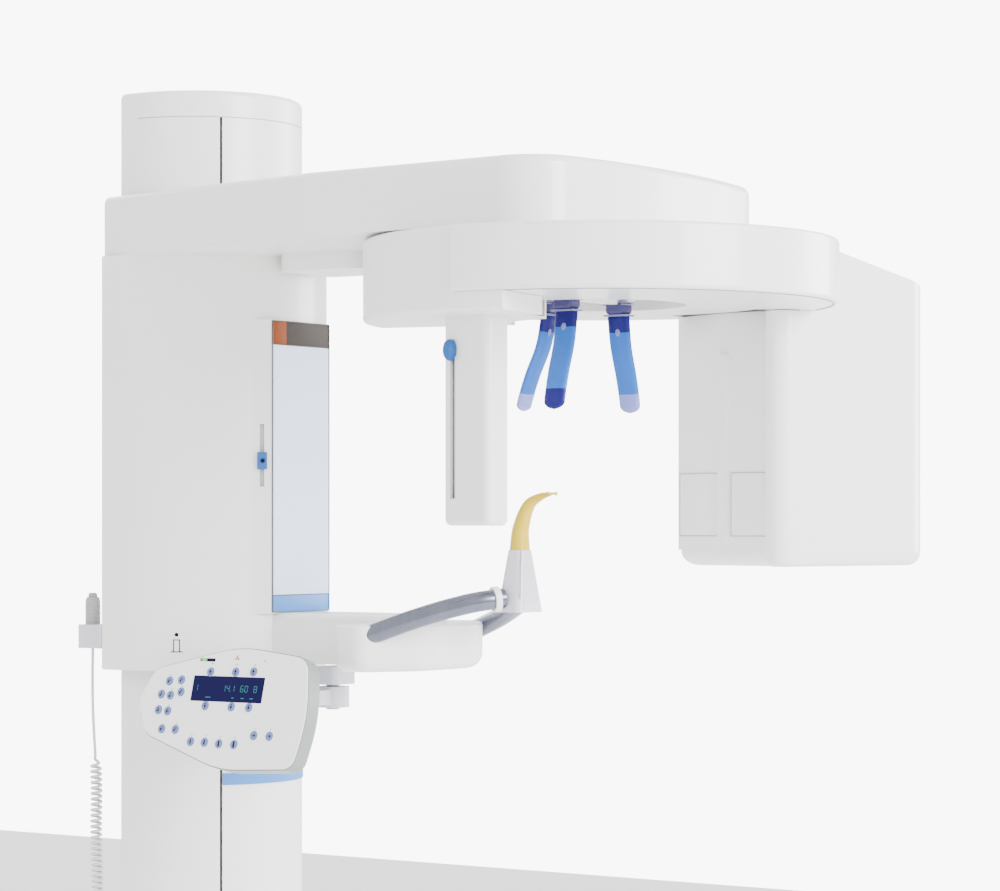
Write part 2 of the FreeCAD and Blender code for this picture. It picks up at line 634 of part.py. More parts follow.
def build_rotary_drive():
    hub = DIMS["hubRadius"]
    bore = DIMS["hubBore"]
    pulley = DIMS["pulleyRadius"]
    turned("slew_bearing", [(50, 2031), (60, 2031), (60, 2043), (74, 2043), (74, 2054), (50, 2054)], 0, AXIS_Y)
    turned("rotor_hub", [(bore, 2006), (95, 2006), (95, 2018), (hub, 2018), (hub, 2057), (pulley, 2057),
                         (pulley, 2075), (bore, 2075)], 0, AXIS_Y)
    edge = DIMS["discRadius"]
    tube = turned_piece("SupportTube", [(0, 1956), (edge - 4, 1956), (edge, 1960), (edge, 1974), (30, 1974),
                                        (30, 2094), (24, 2094), (24, 1978), (0, 1978)], 0, AXIS_Y)
    top = part_slab("BridgeTop", [rounded_box(-112, 112, AXIS_Y - 34, AXIS_Y + 34, 6)], 2092, 8)
    legs = [block("BridgeLeg%d" % i, min(x, x + 12), max(x, x + 12), AXIS_Y - 20, AXIS_Y + 20,
                  DIMS["frameTop"], 2092) for i, x in enumerate((-112, 100))]
    temple_rail = part_slab("TempleRail", [box_outline(-92, 92, AXIS_Y + 2, AXIS_Y + 14)], 1948, 9)
    forehead_rail = part_slab("ForeheadRail", [box_outline(-6, 6, AXIS_Y + 50, AXIS_Y + 94)], 1948, 9)
    fuse("support_column", [tube, top, temple_rail, forehead_rail] + legs)
    motor_y = -DIMS["motorOffset"]
    motor = part_slab("RotorMotorBody", [rounded_box(-28.5, 28.5, motor_y - 28.5, motor_y + 28.5, 4)], 2009, 43)
    flange = part_slab("RotorMotorFlange", [rounded_box(-40, 40, motor_y - 40, motor_y + 40, 4)],
                       "Dims.frameTop", 5)
    fuse("rotor_motor", [motor, flange])
    wheel = DIMS["motorPulleyRadius"]
    turned("motor_pulley", [(0, 2052.4), (4, 2052.4), (4, 2057), (wheel, 2057), (wheel, 2075), (0, 2075)],
           0, motor_y)
    gap = DIMS["beltGap"]
    back = gap + DIMS["beltThickness"]
    inner = belt_outline(pulley + gap, wheel + gap, AXIS_Y, motor_y)
    outer = belt_outline(pulley + back, wheel + back, AXIS_Y, motor_y)
    slab("drive_belt", [outer, inner], 2059, 14)


def belt_outline(big, small, big_y, small_y):
    """Open belt round two pulleys whose centres lie on the Y axis."""
    lean = math.asin((big - small) / (small_y - big_y))
    dx = math.cos(lean)
    dy = math.sin(lean)
    return [(big * dx, big_y + big * dy), (small * dx, small_y + small * dy),
            (0, small_y + small, -small * dx, small_y + small * dy),
            (-big * dx, big_y + big * dy), (0, big_y - big, big * dx, big_y + big * dy)]


# ---------------------------------------------------------------- rotating unit (its own frame: X towards the tube)
def ring_profile(base, outer):
    """Hollow ring section, open towards the hub above the inner wall."""
    top = DIMS["ringTop"]
    return [(60, top), (outer - 5, top), (outer - 1.5, top - 1.5, outer, top - 5), (outer, base + 5),
            (outer - 1.5, base + 1.5, outer - 5, base), (112, base), (112, 1994), (115, 1994),
            (115, base + 3), (outer - 5, base + 3), (outer - 3, base + 5), (outer - 3, top - 5),
            (outer - 5, top - 3), (60, top - 3)]


def sector_body(name, first, last, outline):
    """Outline turned between two angles counted from the tube side."""
    body = new_body(name)
    turn(body, outline, last - first)
    body.Placement = ROTOR.multiply(FreeCAD.Placement(V(0, 0, 0), FreeCAD.Rotation(V(0, 0, 1), first)))
    return body


def build_ring():
    corner = 21.5
    seam = 192
    rear_seam = 120
    nose = 205
    outer = DIMS["ringRadius"]
    base = DIMS["ringBase"]
    block_base = DIMS["blockBase"]
    block_outer = outer - 6
    front = sector_body("FrontSector", seam - 360, -corner, ring_profile(base, outer))
    cut("ring_cover_front", front, [tube_clearance("TubeRoomFront")])
    hollow = sector_body("BlockShell", rear_seam, seam, ring_profile(block_base, block_outer))
    end = [(114, block_base + 1), (block_outer - 2, block_base + 1), (block_outer - 2, base + 6), (114, base + 6)]
    under = [(180, block_base), (block_outer - 4, block_base),
             (block_outer - 1.2, block_base + 1.2, block_outer, block_base + 4), (block_outer, base - 0.4),
             (180, base - 0.4)]
    fuse("sensor_block", [hollow, sector_body("BlockEnd", rear_seam, rear_seam + 1, end),
                          sector_body("BlockNose", seam - 1, nose, under)])
    rear = doc.addObject("Part::Cut", "RearCut")
    rear.Base = sector_body("RearSector", corner, rear_seam, ring_profile(base, outer))
    rear.Tool = tube_clearance("TubeRoomRear")
    side = doc.addObject("Part::Cut", "TubeSideCut")
    side.Base = sector_body("TubeSideSector", -corner, corner, ring_profile(base, 224))
    side.Tool = rotor_block("DeckPassage", 204, 230, -90, 90, 1997.5, 2006.5)
    compound("ring_cover_rear", [rear, side])
    outline = [(-250, -60), (-60, -95), (60, -95), (350, -70), (350, 70), (60, 95), (-60, 95), (-250, 60)]
    deck = part_slab("RotorDeck", [outline, ("circle", 0, 0, 40)], 1998, 8)
    hangers = [block("HangerSide%d" % i, 300, 345, y, y + 5, 1900, 1999) for i, y in enumerate((-65, 60))]
    foot = block("HangerFoot", 300, 345, -65, 65, 1900, 1906)
    fuse("rotor_frame", [deck, foot] + hangers, ROTOR)


def tube_clearance(name):
    """Space that the ring covers leave round the tube housing."""
    half = DIMS["tubeHalf"] + 0.5
    return rotor_block(name, DIMS["tubeFront"] - 0.5, 330, -half, half, 1930, 2040)


def build_sensor():
    half = DIMS["sensorHalf"]
    inner = -DIMS["sensorInner"]
    outer = -DIMS["sensorOuter"]
    base = DIMS["sensorBase"]
    shell = new_body("SensorShell")
    pad(shell, [rounded_box(outer, inner, -half, half, 9)], "Dims.sensorBase",
        "Dims.blockBase - Dims.sensorBase")
    round_edges(shell, 8, at_height(base))
    cavity = part_slab("SensorCavity", [box_outline(outer + 3, inner - 3, 4 - half, half - 4)], base + 9,
                       DIMS["blockBase"] - base - 12)
    slot = part_slab("SensorSlot", [box_outline(outer - 1, outer + 4, 18, 26)], 1697, 186)
    cut("sensor_housing", shell, [cavity, slot], ROTOR)
    knob = new_body("sensor_knob")
    pad(knob, [box_outline(outer - 10, outer - 0.4, 15, 29)], 1868, 24)
    pad(knob, [box_outline(outer - 2, outer + 6, 19, 25)], 1870, 12)
    round_edges(knob, 3, lambda e: abs(e.BoundBox.XMin - outer + 10) < 0.01
                and abs(e.BoundBox.XMax - outer + 10) < 0.01)
    node(knob, "sensor_knob", ROTOR)
    board = part_slab("SensorBoard", [box_outline(-200, -198, -34, 34)], 1680, 230)
    fuse("image_sensor", [board, part_slab("SensorStrip", [box_outline(-198.5, -194, -8, 8)], 1710, 160)], ROTOR)


def build_collimator():
    near = -DIMS["collimatorNear"]
    far = DIMS["collimatorFar"]
    rear = DIMS["tubeFront"]
    base = DIMS["collimatorBase"]
    shell = new_body("CollimatorShell")
    pad(shell, [[(227, -8), (227, 8), (244, far - 6), (246, far - 1, 251, far), (rear, far), (rear, near),
                 (242, near)]], "Dims.collimatorBase",
        "Dims.ringBase - Dims.collimatorBase")
    cavity = part_slab("CollimatorCavity", [box_outline(238, rear + 1, -52, 52)], base + 8, 296)
    hollow = doc.addObject("Part::Cut", "CollimatorHollow")
    hollow.Base = shell
    hollow.Tool = cavity
    strip = part_slab("CollimatorStrip", [box_outline(221, 228, -8, 8)], 1638, 251)
    plate = block("AperturePlate", 242, 248, -34, 34, 1700, 1860)
    tools = [block("ApertureSlit", 240, 250, -2, 2, 1715, 1845)]
    rails = []
    for i, z in enumerate((1707, 1853)):
        tools.append(cylinder("ApertureHole%d" % i, 2.3, 80, V(245, -40, z), V(0, 1, 0)))
        rails.append(cylinder("ApertureRail%d" % i, 2, 106, V(245, -53, z), V(0, 1, 0)))
    cut("aperture_plate", plate, tools, ROTOR)
    fuse("collimator_housing", [hollow, strip] + rails, ROTOR)


def tube_outline(front, back, half, corner):
    """Tube housing in plan: square at the front, round corners at the back."""
    k = corner * (1 - math.sqrt(0.5))
    return [(front, -half), (back - corner, -half), (back - k, k - half, back, corner - half),
            (back, half - corner), (back - k, half - k, back - corner, half), (front, half)]


def build_tube_housing():
    front = DIMS["tubeFront"]
    back = DIMS["tubeBack"]
    half = DIMS["tubeHalf"]
    base = DIMS["tubeBase"]
    top = DIMS["tubeTop"]
    fall = 43
    skin = new_body("TubeSkin")
    pad(skin, [tube_outline(front, back, half, DIMS["tubeCorner"])], "Dims.tubeBase",
        "Dims.tubeTop - Dims.tubeBase")
    pocket(skin, [[(320, top), (back + 1, top - fall), (back + 1, top + 5), (320, top + 5)]], -half - 1,
           2 * half + 2, "XZ_Plane")
    round_edges(skin, 18, at_height(base))
    cheek = new_body("TubeCheek")
    pad(cheek, [[(front + 25, -half), (front + 25, -80), (222, -80), (222, 24 - half),
                 (229.03, 7.03 - half, 246, -half)]], "Dims.tubeBase", "Dims.ringBase - Dims.tubeBase - 1")
    round_edges(cheek, 14, lambda e: at_height(base)(e) and e.BoundBox.XMin < front and e.BoundBox.YMin < -80.1)
    joined = doc.addObject("Part::MultiFuse", "TubeJoined")
    joined.Shapes = [skin, cheek]
    wall = 5
    cavity = part_slab("TubeCavity", [tube_outline(front + wall, back - wall, half - wall, 45)], base + 9, 355)
    window = part_slab("TubeWindow", [box_outline(front - 1, front + wall + 1, -50, 50)], 1660, 260)
    deck_bay = block("DeckBay", front - 1, 351, -84, 84, 1970, 2007)
    cut("tube_housing", joined, [cavity, window, deck_bay], ROTOR)
    tank = block("TankBody", 310, 470, -75, 75, 1690, 1900)
    bay = block("TankBay", 318, 390, -60, 60, 1700, 1890)
    window_port = cylinder("TankPort", 22, 20, V(305, 0, 1780), V(1, 0, 0))
    generator = part_slab("GeneratorCase", [rounded_box(312, 466, -70, 70, 6)], 1640, 55)
    whole = doc.addObject("Part::MultiFuse", "TankWhole")
    whole.Shapes = [tank, generator]
    cut("tube_tank", whole, [bay, window_port], ROTOR)
    turned_glass = new_body("xray_tube")
    turn(turned_glass, [(0, -58), (16, -58), (16, -34), (24, -26), (24, 26), (14, 36), (14, 58), (0, 58)])
    spin = FreeCAD.Placement(V(354, 0, 1780), FreeCAD.Rotation(V(1, 0, 0), 90))
    node(turned_glass, "xray_tube", ROTOR.multiply(spin))


# ---------------------------------------------------------------- head supports
def finger(name, lean, bow):
    """Flat blade with a round tip, hanging from a clamp; lean tips it outwards."""
    half = DIMS["fingerWidth"] / 2
    top = DIMS["fingerTop"]
    tip = DIMS["fingerTip"]
    body = new_body(name)
    outline = [(-half * 0.8, top), (-half, tip + 60), (-half * 0.95, tip + half), (0, tip, half * 0.95, tip + half),
               (half, tip + 60), (half * 0.8, top)]
    pad(body, [outline], bow, "Dims.fingerThickness", "YZ_Plane")
    round_edges(body, 2.5, lambda e: e.BoundBox.ZMin < tip + 62 and e.BoundBox.YLength > 5)
    pivot = V(0, 0, top)
    body.Placement = FreeCAD.Placement(pivot - FreeCAD.Rotation(V(0, 1, 0), lean).multVec(pivot),
                                       FreeCAD.Rotation(V(0, 1, 0), lean))
    return body


def build_supports():
    for label, x, side in (("near", -62, -1), ("far", 62, 1)):
        clamp = block("TempleClamp" + label, -14, 14, -14, 14, 1935, 1955.4)
        groove = block("TempleGroove" + label, -15, 15, -6.4, 6.4, 1947.6, 1956)
        place = FreeCAD.Placement(V(x, AXIS_Y + 8, 0), UP)
        blade = finger("TempleBlade" + label, 12 * -side, -4)
        hanging_support("temple_support_" + label, clamp, groove, blade, place)
    clamp = block("ForeheadClamp", -13, 13, -12, 14, 1935, 1955.4)
    groove = block("ForeheadGroove", -6.4, 6.4, -15, 15, 1947.6, 1956)
    place = FreeCAD.Placement(V(0, AXIS_Y + 76, 0), UP)
    blade = finger("ForeheadBlade", -16, -4)
    quarter = FreeCAD.Rotation(V(0, 0, 1), 90)
    blade.Placement = FreeCAD.Placement(V(0, 0, 0), quarter).multiply(blade.Placement)
    hanging_support("forehead_support", clamp, groove, blade, place)


def hanging_support(label, clamp, groove, blade, place):
    """Clamp that slides on its rail, with the blade that hangs from it."""
    whole = doc.addObject("Part::MultiFuse", label + "Whole")
    whole.Shapes = [clamp, blade]
    cut(label, whole, [groove], place)


# ---------------------------------------------------------------- control panel (own frame: X to the patient side)
def panel_frame():
    """Frame on the panel's face: X towards -Y, Y up the face, Z out of it."""
    lean = math.radians(DIMS["panelTilt"])
    right = V(0, -1, 0)
    up = V(math.sin(lean), 0, math.cos(lean))
    out = right.cross(up)
    return FreeCAD.Placement(V(DIMS["panelX"], DIMS["panelY"], DIMS["panelZ"]),
                             FreeCAD.Rotation(right, up, out, "ZXY"))


PANEL_CORNERS = [(-113, -43, 30), (20, -86, 160), (139, -80, 20), (151, -10, 200), (137, 66, 24),
                 (24, 79, 200), (-113, 46, 30), (-134, 2, 25)]


def panel_outline(grow):
    """Blunt leaf: a round nose towards the column, a tall straight end towards the patient."""
    return rounded_outline(PANEL_CORNERS, grow)


KEYS = ([(-18, 43), (23.5, 44), (53, 45), (-17.6, -2), (25.7, -2), (54.6, -2)]
        + [(-84.5, 29), (-64.5, 31), (-62, 15), (-94.5, 11), (-79, 10), (-95, -10), (-79, -11)]
        + [(-84, -35), (-61, -35)]
        + [(-32, -50), (-8.7, -50), (15.3, -51), (40.2, -51), (70.2, -38), (95.5, -38)])


def build_panel():
    place = panel_frame()
    case = new_body("PanelShell")
    pad(case, [panel_outline(0)], -32, "Dims.panelThickness")
    round_edges(case, 13, at_height(-32))
    cavity = part_slab("PanelCavity", [panel_outline(-5)], -24, 20)
    opening = part_slab("PanelWindow", [box_outline(-45, 73, 4, 38)], -6, 8)
    hollow = doc.addObject("Part::Cut", "PanelHollow")
    hollow.Base = case
    hollow.Tool = cavity
    open_case = doc.addObject("Part::Cut", "PanelOpenCase")
    open_case.Base = hollow
    open_case.Tool = opening
    open_case.Placement = place
    fuse("panel_case", [open_case] + hinge_pieces())
    foil = part_slab("PanelFoil", [panel_outline(-1.5), box_outline(-45, 73, 4, 38)], 0, 2)
    keys = [cylinder("Key%d" % i, 6.2, 1.2, V(x, y, 1.4)) for i, (x, y) in enumerate(KEYS)]
    fuse("panel_face", [foil] + keys, place)
    screen = part_slab("PanelScreen", [box_outline(-44.6, 72.6, 4.4, 37.6)], -11, 13.2)
    board = part_slab("PanelBoard", [panel_outline(-9)], -12, 2)
    fuse("panel_display", [screen, board], place)


def build_panel_arm():
    y = -227
    stem = part_slab("StemBlock", [rounded_box(-25, 25, y - 22, y + 22, 8)], 1450, 24)
    post = cylinder("StemPin", 9, 34, V(0, y, 1416))
    fuse("panel_stem", [stem, post])
    tube = cylinder("ArmSleeve", 22, 28, V(0, y, 1419))
    bar = block("ArmBarBlock", -148, -10, y - 11, y + 11, 1423, 1443)
    bore = cylinder("ArmBore", 9.06, 40, V(0, y, 1412))
    body = doc.addObject("Part::MultiFuse", "PanelArmWhole")
    body.Shapes = [tube, bar, knuckle("ArmKnuckle", y - 14, 28, 12)]
    cut("panel_arm", body, [bore, knuckle("ArmKnuckleBore", y - 20, 40, 5.06)])


def hinge_pieces():
    """Two lugs and a pin that carry the case on its tilt axis."""
    y = -227
    starts = (y - 23, y + 15)
    lugs = [knuckle("HingeLug%d" % i, start, 8, 12) for i, start in enumerate(starts)]
    bars = [block("HingeBar%d" % i, -184, -152, start, start + 8, 1424, 1442) for i, start in enumerate(starts)]
    return lugs + bars + [knuckle("HingePin", y - 23, 46, 5)]


def knuckle(name, start, width, radius):
    """Cylinder along Y on the panel's tilt axis."""
    return cylinder(name, radius, width, V(-152, start, 1433), V(0, 1, 0))


# ---------------------------------------------------------------- hand switch and its cord
LEAD = [(-150, 69, 1497), (-150, 70, 1452), (-149, 69.5, 1404), (-146, 68, 1352)]
COIL = [(-146, 68, 1352), (-144, 67, 1300), (-145, 68, 1248), (-143, 67, 1196), (-142, 68, 1144),
        (-134, 66, 1096), (-112, 67, 1056), (-76, 68, 1036), (-38, 67, 1046), (-10, 66, 1080), (2, 67, 1124),
        (4, 66, 1176), (2, 67, 1228)]
TAIL = [(2, 67, 1228), (1, 67, 1276), (4, 66, 1326), (3, 65, 1378), (8, 62, 1430), (10, 60, 1480)]


def build_switch():
    x = DIMS["switchX"]
    y = DIMS["switchY"]
    cross = block("RearTieBar", -172, 172, 35, 41, 1500, 1530)
    boss = block("SocketBoss", -8, 28, 40, 72, 1480, 1512)
    clip = part_slab("ClipBlock", [rounded_box(x - 15, x + 15, 41, y + 15, 4),
                                   ("circle", x, y, DIMS["switchRadius"])], 1503, 26)
    floor = part_slab("ClipFloor", [rounded_box(x - 15, x + 15, 41, y + 15, 4),
                                    ("circle", x, y, 5)], 1497, 6)
    fuse("switch_holder", [cross, boss, clip, floor])
    turned("hand_switch", [(0, 1497), (3, 1497), (4.6, 1503), (10, 1503), (10, 1561), (8.5, 1566), (6.3, 1566),
                           (6.3, 1559), (0, 1559)], x, y)
    turned("switch_button", [(0, 1562.4), (6, 1562.4), (6, 1570), (4.5, 1572), (0, 1572)], x, y)
    raw("switch_lead", smooth_tube(LEAD, DIMS["leadRadius"]))
    raw("switch_coil", smooth_tube(COIL, DIMS["coilRadius"]))
    raw("switch_tail", smooth_tube(TAIL, DIMS["leadRadius"]))


# ---------------------------------------------------------------- assembly, checks and export
def check_and_export():
    doc.recompute()
    for obj in doc.Objects:
        if "Invalid" in obj.State or "Error" in obj.State:
            raise RuntimeError("failed feature: %s %s" % (obj.Name, obj.State))
    os.makedirs("parts", exist_ok=True)
    for obj in NODES:
        if obj.Shape.isNull() or not obj.Shape.isValid() or not obj.Shape.Solids:
            raise RuntimeError("bad shape: " + obj.Label)
        obj.Shape.exportStep("parts/%s.step" % obj.Label)
    print(len(NODES), "nodes written")


build_column()
build_wall_bracket()
build_lift_drive()
build_trolley()
build_carriage_frame()
build_carriage_cover()
build_mirror()
build_layer_light()
build_lower_arm()
build_handles()
build_bite()
build_upper_arm()
build_rotary_drive()
build_ring()
build_sensor()
build_collimator()
build_tube_housing()
build_supports()
build_panel()
build_panel_arm()
build_switch()
check_and_export()
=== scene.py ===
"""Looks of a panoramic dental x-ray machine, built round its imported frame. Metres, +Z up."""

import logging
import math
from dataclasses import dataclass
from enum import Enum
from typing import Iterable, Sequence

import bmesh
import bpy
from mathutils import Matrix, Vector


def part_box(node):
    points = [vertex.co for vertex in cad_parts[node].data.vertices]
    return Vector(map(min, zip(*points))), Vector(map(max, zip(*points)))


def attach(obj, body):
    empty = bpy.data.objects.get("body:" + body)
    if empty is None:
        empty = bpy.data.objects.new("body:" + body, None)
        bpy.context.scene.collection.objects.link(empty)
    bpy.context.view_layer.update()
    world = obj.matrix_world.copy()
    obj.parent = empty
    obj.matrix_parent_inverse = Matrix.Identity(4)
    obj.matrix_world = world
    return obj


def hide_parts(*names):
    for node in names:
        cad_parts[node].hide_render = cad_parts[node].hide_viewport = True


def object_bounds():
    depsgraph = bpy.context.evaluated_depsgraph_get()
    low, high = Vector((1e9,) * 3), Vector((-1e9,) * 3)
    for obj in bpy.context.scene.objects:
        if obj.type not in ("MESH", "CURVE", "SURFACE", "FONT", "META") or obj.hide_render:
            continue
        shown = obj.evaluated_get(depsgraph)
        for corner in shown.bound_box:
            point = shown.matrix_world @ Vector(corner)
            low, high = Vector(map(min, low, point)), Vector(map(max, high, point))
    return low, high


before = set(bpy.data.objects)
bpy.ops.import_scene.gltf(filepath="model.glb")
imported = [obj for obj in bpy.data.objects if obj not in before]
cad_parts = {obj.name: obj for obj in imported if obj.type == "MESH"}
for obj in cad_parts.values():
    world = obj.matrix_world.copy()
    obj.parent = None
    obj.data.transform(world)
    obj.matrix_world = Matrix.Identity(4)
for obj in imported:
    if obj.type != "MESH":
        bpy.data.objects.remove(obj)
CAD_BOX = [list(map(float, corner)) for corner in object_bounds()]
LOG = logging.getLogger("machine")
Point = tuple[float, float, float]
UP = Vector((0, 0, 1))
CARRIER_RADIUS = 0.172


# ---------------------------------------------------------------- finishes
class Grain(Enum):
    """Kinds of fine surface relief."""

    MOULDED = "moulded"
    SPRAYED = "sprayed"
    BRUSHED = "brushed"
    POLISHED = "polished"


@dataclass(frozen=True)
class Finish:
    """A procedural surface finish.

    Args:
        name: material name.
        colour: base colour, linear RGB.
        shade: second colour that slow variation blends towards.
        roughness: mean roughness.
        metallic: metal share.
        grain: kind of relief.
        relief: bump strength.
        coat: clear coat weight.
        transmission: share of light passed through.
        glow: emission strength of the base colour.
        gloss: specular level.
    """

    name: str
    colour: tuple[float, float, float]
    shade: tuple[float, float, float]
    roughness: float = 0.35
    metallic: float = 0.0
    grain: Grain = Grain.MOULDED
    relief: float = 0.05
    coat: float = 0.0
    transmission: float = 0.0
    glow: float = 0.0
    gloss: float = 0.5

    def build(self) -> bpy.types.Material:
        """Make the material once and return it."""
        label = f"{self.name}_finish"
        found = bpy.data.materials.get(label)
        if found:
            return found
        material = bpy.data.materials.new(label)
        material.use_nodes = True
        nodes = material.node_tree.nodes
        links = material.node_tree.links
        shader = nodes["Principled BSDF"]
        shader.inputs["Metallic"].default_value = self.metallic
        shader.inputs["Coat Weight"].default_value = self.coat
        shader.inputs["Coat Roughness"].default_value = 0.08
        shader.inputs["Specular IOR Level"].default_value = self.gloss
        shader.inputs["Transmission Weight"].default_value = self.transmission
        place = nodes.new("ShaderNodeTexCoord")
        mapping = nodes.new("ShaderNodeMapping")
        links.new(place.outputs["Object"], mapping.inputs["Vector"])
        if self.grain is Grain.BRUSHED:
            mapping.inputs["Scale"].default_value = (30.0, 30.0, 1.0)
        slow = self._noise(nodes, links, mapping, 3.0, 2.0)
        fine_scale = {Grain.MOULDED: 900.0, Grain.SPRAYED: 420.0, Grain.BRUSHED: 60.0, Grain.POLISHED: 200.0}
        fine = self._noise(nodes, links, mapping, fine_scale[self.grain], 3.0)
        blend = nodes.new("ShaderNodeMix")
        blend.data_type = "RGBA"
        blend.inputs["A"].default_value = (*self.colour, 1)
        blend.inputs["B"].default_value = (*self.shade, 1)
        links.new(slow, blend.inputs["Factor"])
        links.new(blend.outputs["Result"], shader.inputs["Base Color"])
        spread = nodes.new("ShaderNodeMapRange")
        spread.inputs["To Min"].default_value = max(0.02, self.roughness - 0.06)
        spread.inputs["To Max"].default_value = self.roughness + 0.06
        links.new(fine, spread.inputs["Value"])
        links.new(spread.outputs["Result"], shader.inputs["Roughness"])
        bump = nodes.new("ShaderNodeBump")
        bump.inputs["Strength"].default_value = self.relief
        bump.inputs["Distance"].default_value = 0.0004
        links.new(fine, bump.inputs["Height"])
        links.new(bump.outputs["Normal"], shader.inputs["Normal"])
        if self.glow:
            shader.inputs["Emission Color"].default_value = (*self.colour, 1)
            shader.inputs["Emission Strength"].default_value = self.glow
        return material

    @staticmethod
    def _noise(nodes: bpy.types.Nodes, links: bpy.types.NodeLinks, mapping: bpy.types.Node, scale: float,
               detail: float) -> bpy.types.NodeSocket:
        """Noise texture on the mapped coordinates, as a socket."""
        noise = nodes.new("ShaderNodeTexNoise")
        noise.inputs["Scale"].default_value = scale
        noise.inputs["Detail"].default_value = detail
        links.new(mapping.outputs["Vector"], noise.inputs["Vector"])
        return noise.outputs["Fac"]


HOUSING = Finish("housing_shell", (0.86, 0.855, 0.845), (0.82, 0.815, 0.805), 0.30, relief=0.03, coat=0.25)
COLUMN = Finish("column_lacquer", (0.85, 0.85, 0.845), (0.81, 0.81, 0.805), 0.33, grain=Grain.SPRAYED,
                relief=0.06, coat=0.2)
DARK_LACQUER = Finish("bracket_lacquer", (0.62, 0.63, 0.65), (0.55, 0.56, 0.58), 0.42, grain=Grain.SPRAYED,
                      relief=0.1)
BAND = Finish("band_blue", (0.07, 0.23, 0.56), (0.06, 0.20, 0.51), 0.36, gloss=0.2)
STEEL = Finish("ground_steel", (0.58, 0.59, 0.60), (0.48, 0.49, 0.50), 0.28, 1.0, Grain.BRUSHED, 0.15)
ALUMINIUM = Finish("bare_aluminium", (0.74, 0.75, 0.76), (0.66, 0.67, 0.68), 0.38, 1.0, Grain.BRUSHED, 0.12)
# Handle metal: grey metal, darkened far below bare steel; the darkness is painted reflection of dark
# surroundings.
HANDLE_METAL_PAINTED_REFLECTION = Finish("handle_metal_painted_reflection", (0.17, 0.18, 0.22), (0.12, 0.13, 0.17), 0.20, 1.0, Grain.BRUSHED, 0.05)
# Mirror pane: a flat pale blue base colour with no metal share, a painted reflection in place of what the
# mirror would show.
MIRROR_PAINTED_REFLECTION = Finish("mirror_glass", (0.56, 0.67, 0.84), (0.53, 0.64, 0.82), 0.12, 0.0, Grain.POLISHED, 0.01,
                gloss=0.3)
HOLDER = Finish("holder_grey", (0.62, 0.62, 0.69), (0.56, 0.56, 0.63), 0.34, coat=0.2)
BITE = Finish("bite_yellow", (0.62, 0.44, 0.020), (0.56, 0.39, 0.016), 0.34, gloss=0.3)
NAVY = Finish("finger_navy", (0.004, 0.002, 0.15), (0.003, 0.002, 0.11), 0.34, gloss=0.3)
BLUE = Finish("finger_blue", (0.008, 0.13, 0.52), (0.006, 0.10, 0.44), 0.30, gloss=0.35)
LAVENDER = Finish("finger_tip", (0.24, 0.26, 0.60), (0.20, 0.22, 0.55), 0.34, gloss=0.3)
BRACKET = Finish("support_bracket", (0.060, 0.055, 0.16), (0.045, 0.042, 0.13), 0.36, gloss=0.2)
RING = Finish("support_ring", (0.20, 0.21, 0.40), (0.17, 0.18, 0.35), 0.34, gloss=0.3)
KNOB = Finish("knob_blue", (0.008, 0.10, 0.36), (0.007, 0.085, 0.31), 0.36, gloss=0.3)
SLIDER = Finish("slider_blue", (0.04, 0.13, 0.36), (0.03, 0.11, 0.32), 0.36, gloss=0.2)
PANEL = Finish("panel_shell", (0.24, 0.27, 0.255), (0.20, 0.23, 0.215), 0.36, gloss=0.3)
FOIL = Finish("panel_foil", (0.93, 0.93, 0.93), (0.90, 0.90, 0.91), 0.38, relief=0.02)
DISPLAY = Finish("display_navy", (0.002, 0.0012, 0.045), (0.0016, 0.001, 0.035), 0.45,
                 grain=Grain.POLISHED, relief=0.0, gloss=0.1)
DIGIT = Finish("display_digit", (0.03, 0.16, 0.18), (0.025, 0.13, 0.15), 0.4, glow=0.1, gloss=0.1)
KEY = Finish("key_disc", (0.15, 0.20, 0.40), (0.12, 0.17, 0.36), 0.4, gloss=0.2)
INK = Finish("print_ink", (0.004, 0.005, 0.02), (0.003, 0.004, 0.015), 0.5, gloss=0.1)
LAMP = Finish("lamp_green", (0.10, 0.55, 0.22), (0.07, 0.45, 0.18), 0.3, glow=0.2)
LABEL = Finish("label_yellow", (0.25, 0.27, 0.01), (0.20, 0.23, 0.01), 0.5, gloss=0.1)
ORANGE = Finish("strip_orange", (0.23, 0.045, 0.001), (0.20, 0.038, 0.001), 0.5, gloss=0.1)
BROWN = Finish("strip_brown", (0.055, 0.045, 0.04), (0.045, 0.037, 0.033), 0.5, gloss=0.1)
SHADOW = Finish("deep_grey", (0.10, 0.10, 0.11), (0.07, 0.07, 0.08), 0.6)
SEAM = Finish("seam_grey", (0.36, 0.36, 0.37), (0.30, 0.30, 0.31), 0.6)
GASKET = Finish("window_frame", (0.60, 0.61, 0.62), (0.54, 0.55, 0.56), 0.4)
WINDOW = Finish("window_plastic", (0.84, 0.84, 0.84), (0.80, 0.80, 0.80), 0.14, coat=0.6)
SWITCH = Finish("switch_grey", (0.36, 0.36, 0.37), (0.30, 0.30, 0.31), 0.42, relief=0.12)
CORD = Finish("cord_sheath", (0.58, 0.58, 0.57), (0.52, 0.52, 0.51), 0.5, relief=0.08)
LEAD = Finish("lead_alloy", (0.20, 0.21, 0.22), (0.16, 0.17, 0.18), 0.6, 0.6)
GLASS = Finish("tube_glass", (0.85, 0.87, 0.80), (0.80, 0.82, 0.76), 0.05, grain=Grain.POLISHED,
               relief=0.0, transmission=0.9)
FLOOR = Finish("studio_floor", (0.96, 0.96, 0.96), (0.95, 0.95, 0.95), 0.7)


# ---------------------------------------------------------------- mesh tools
def dress(node: str, finish: Finish) -> None:
    """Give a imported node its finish."""
    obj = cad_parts[node]
    obj.data.materials.clear()
    obj.data.materials.append(finish.build())


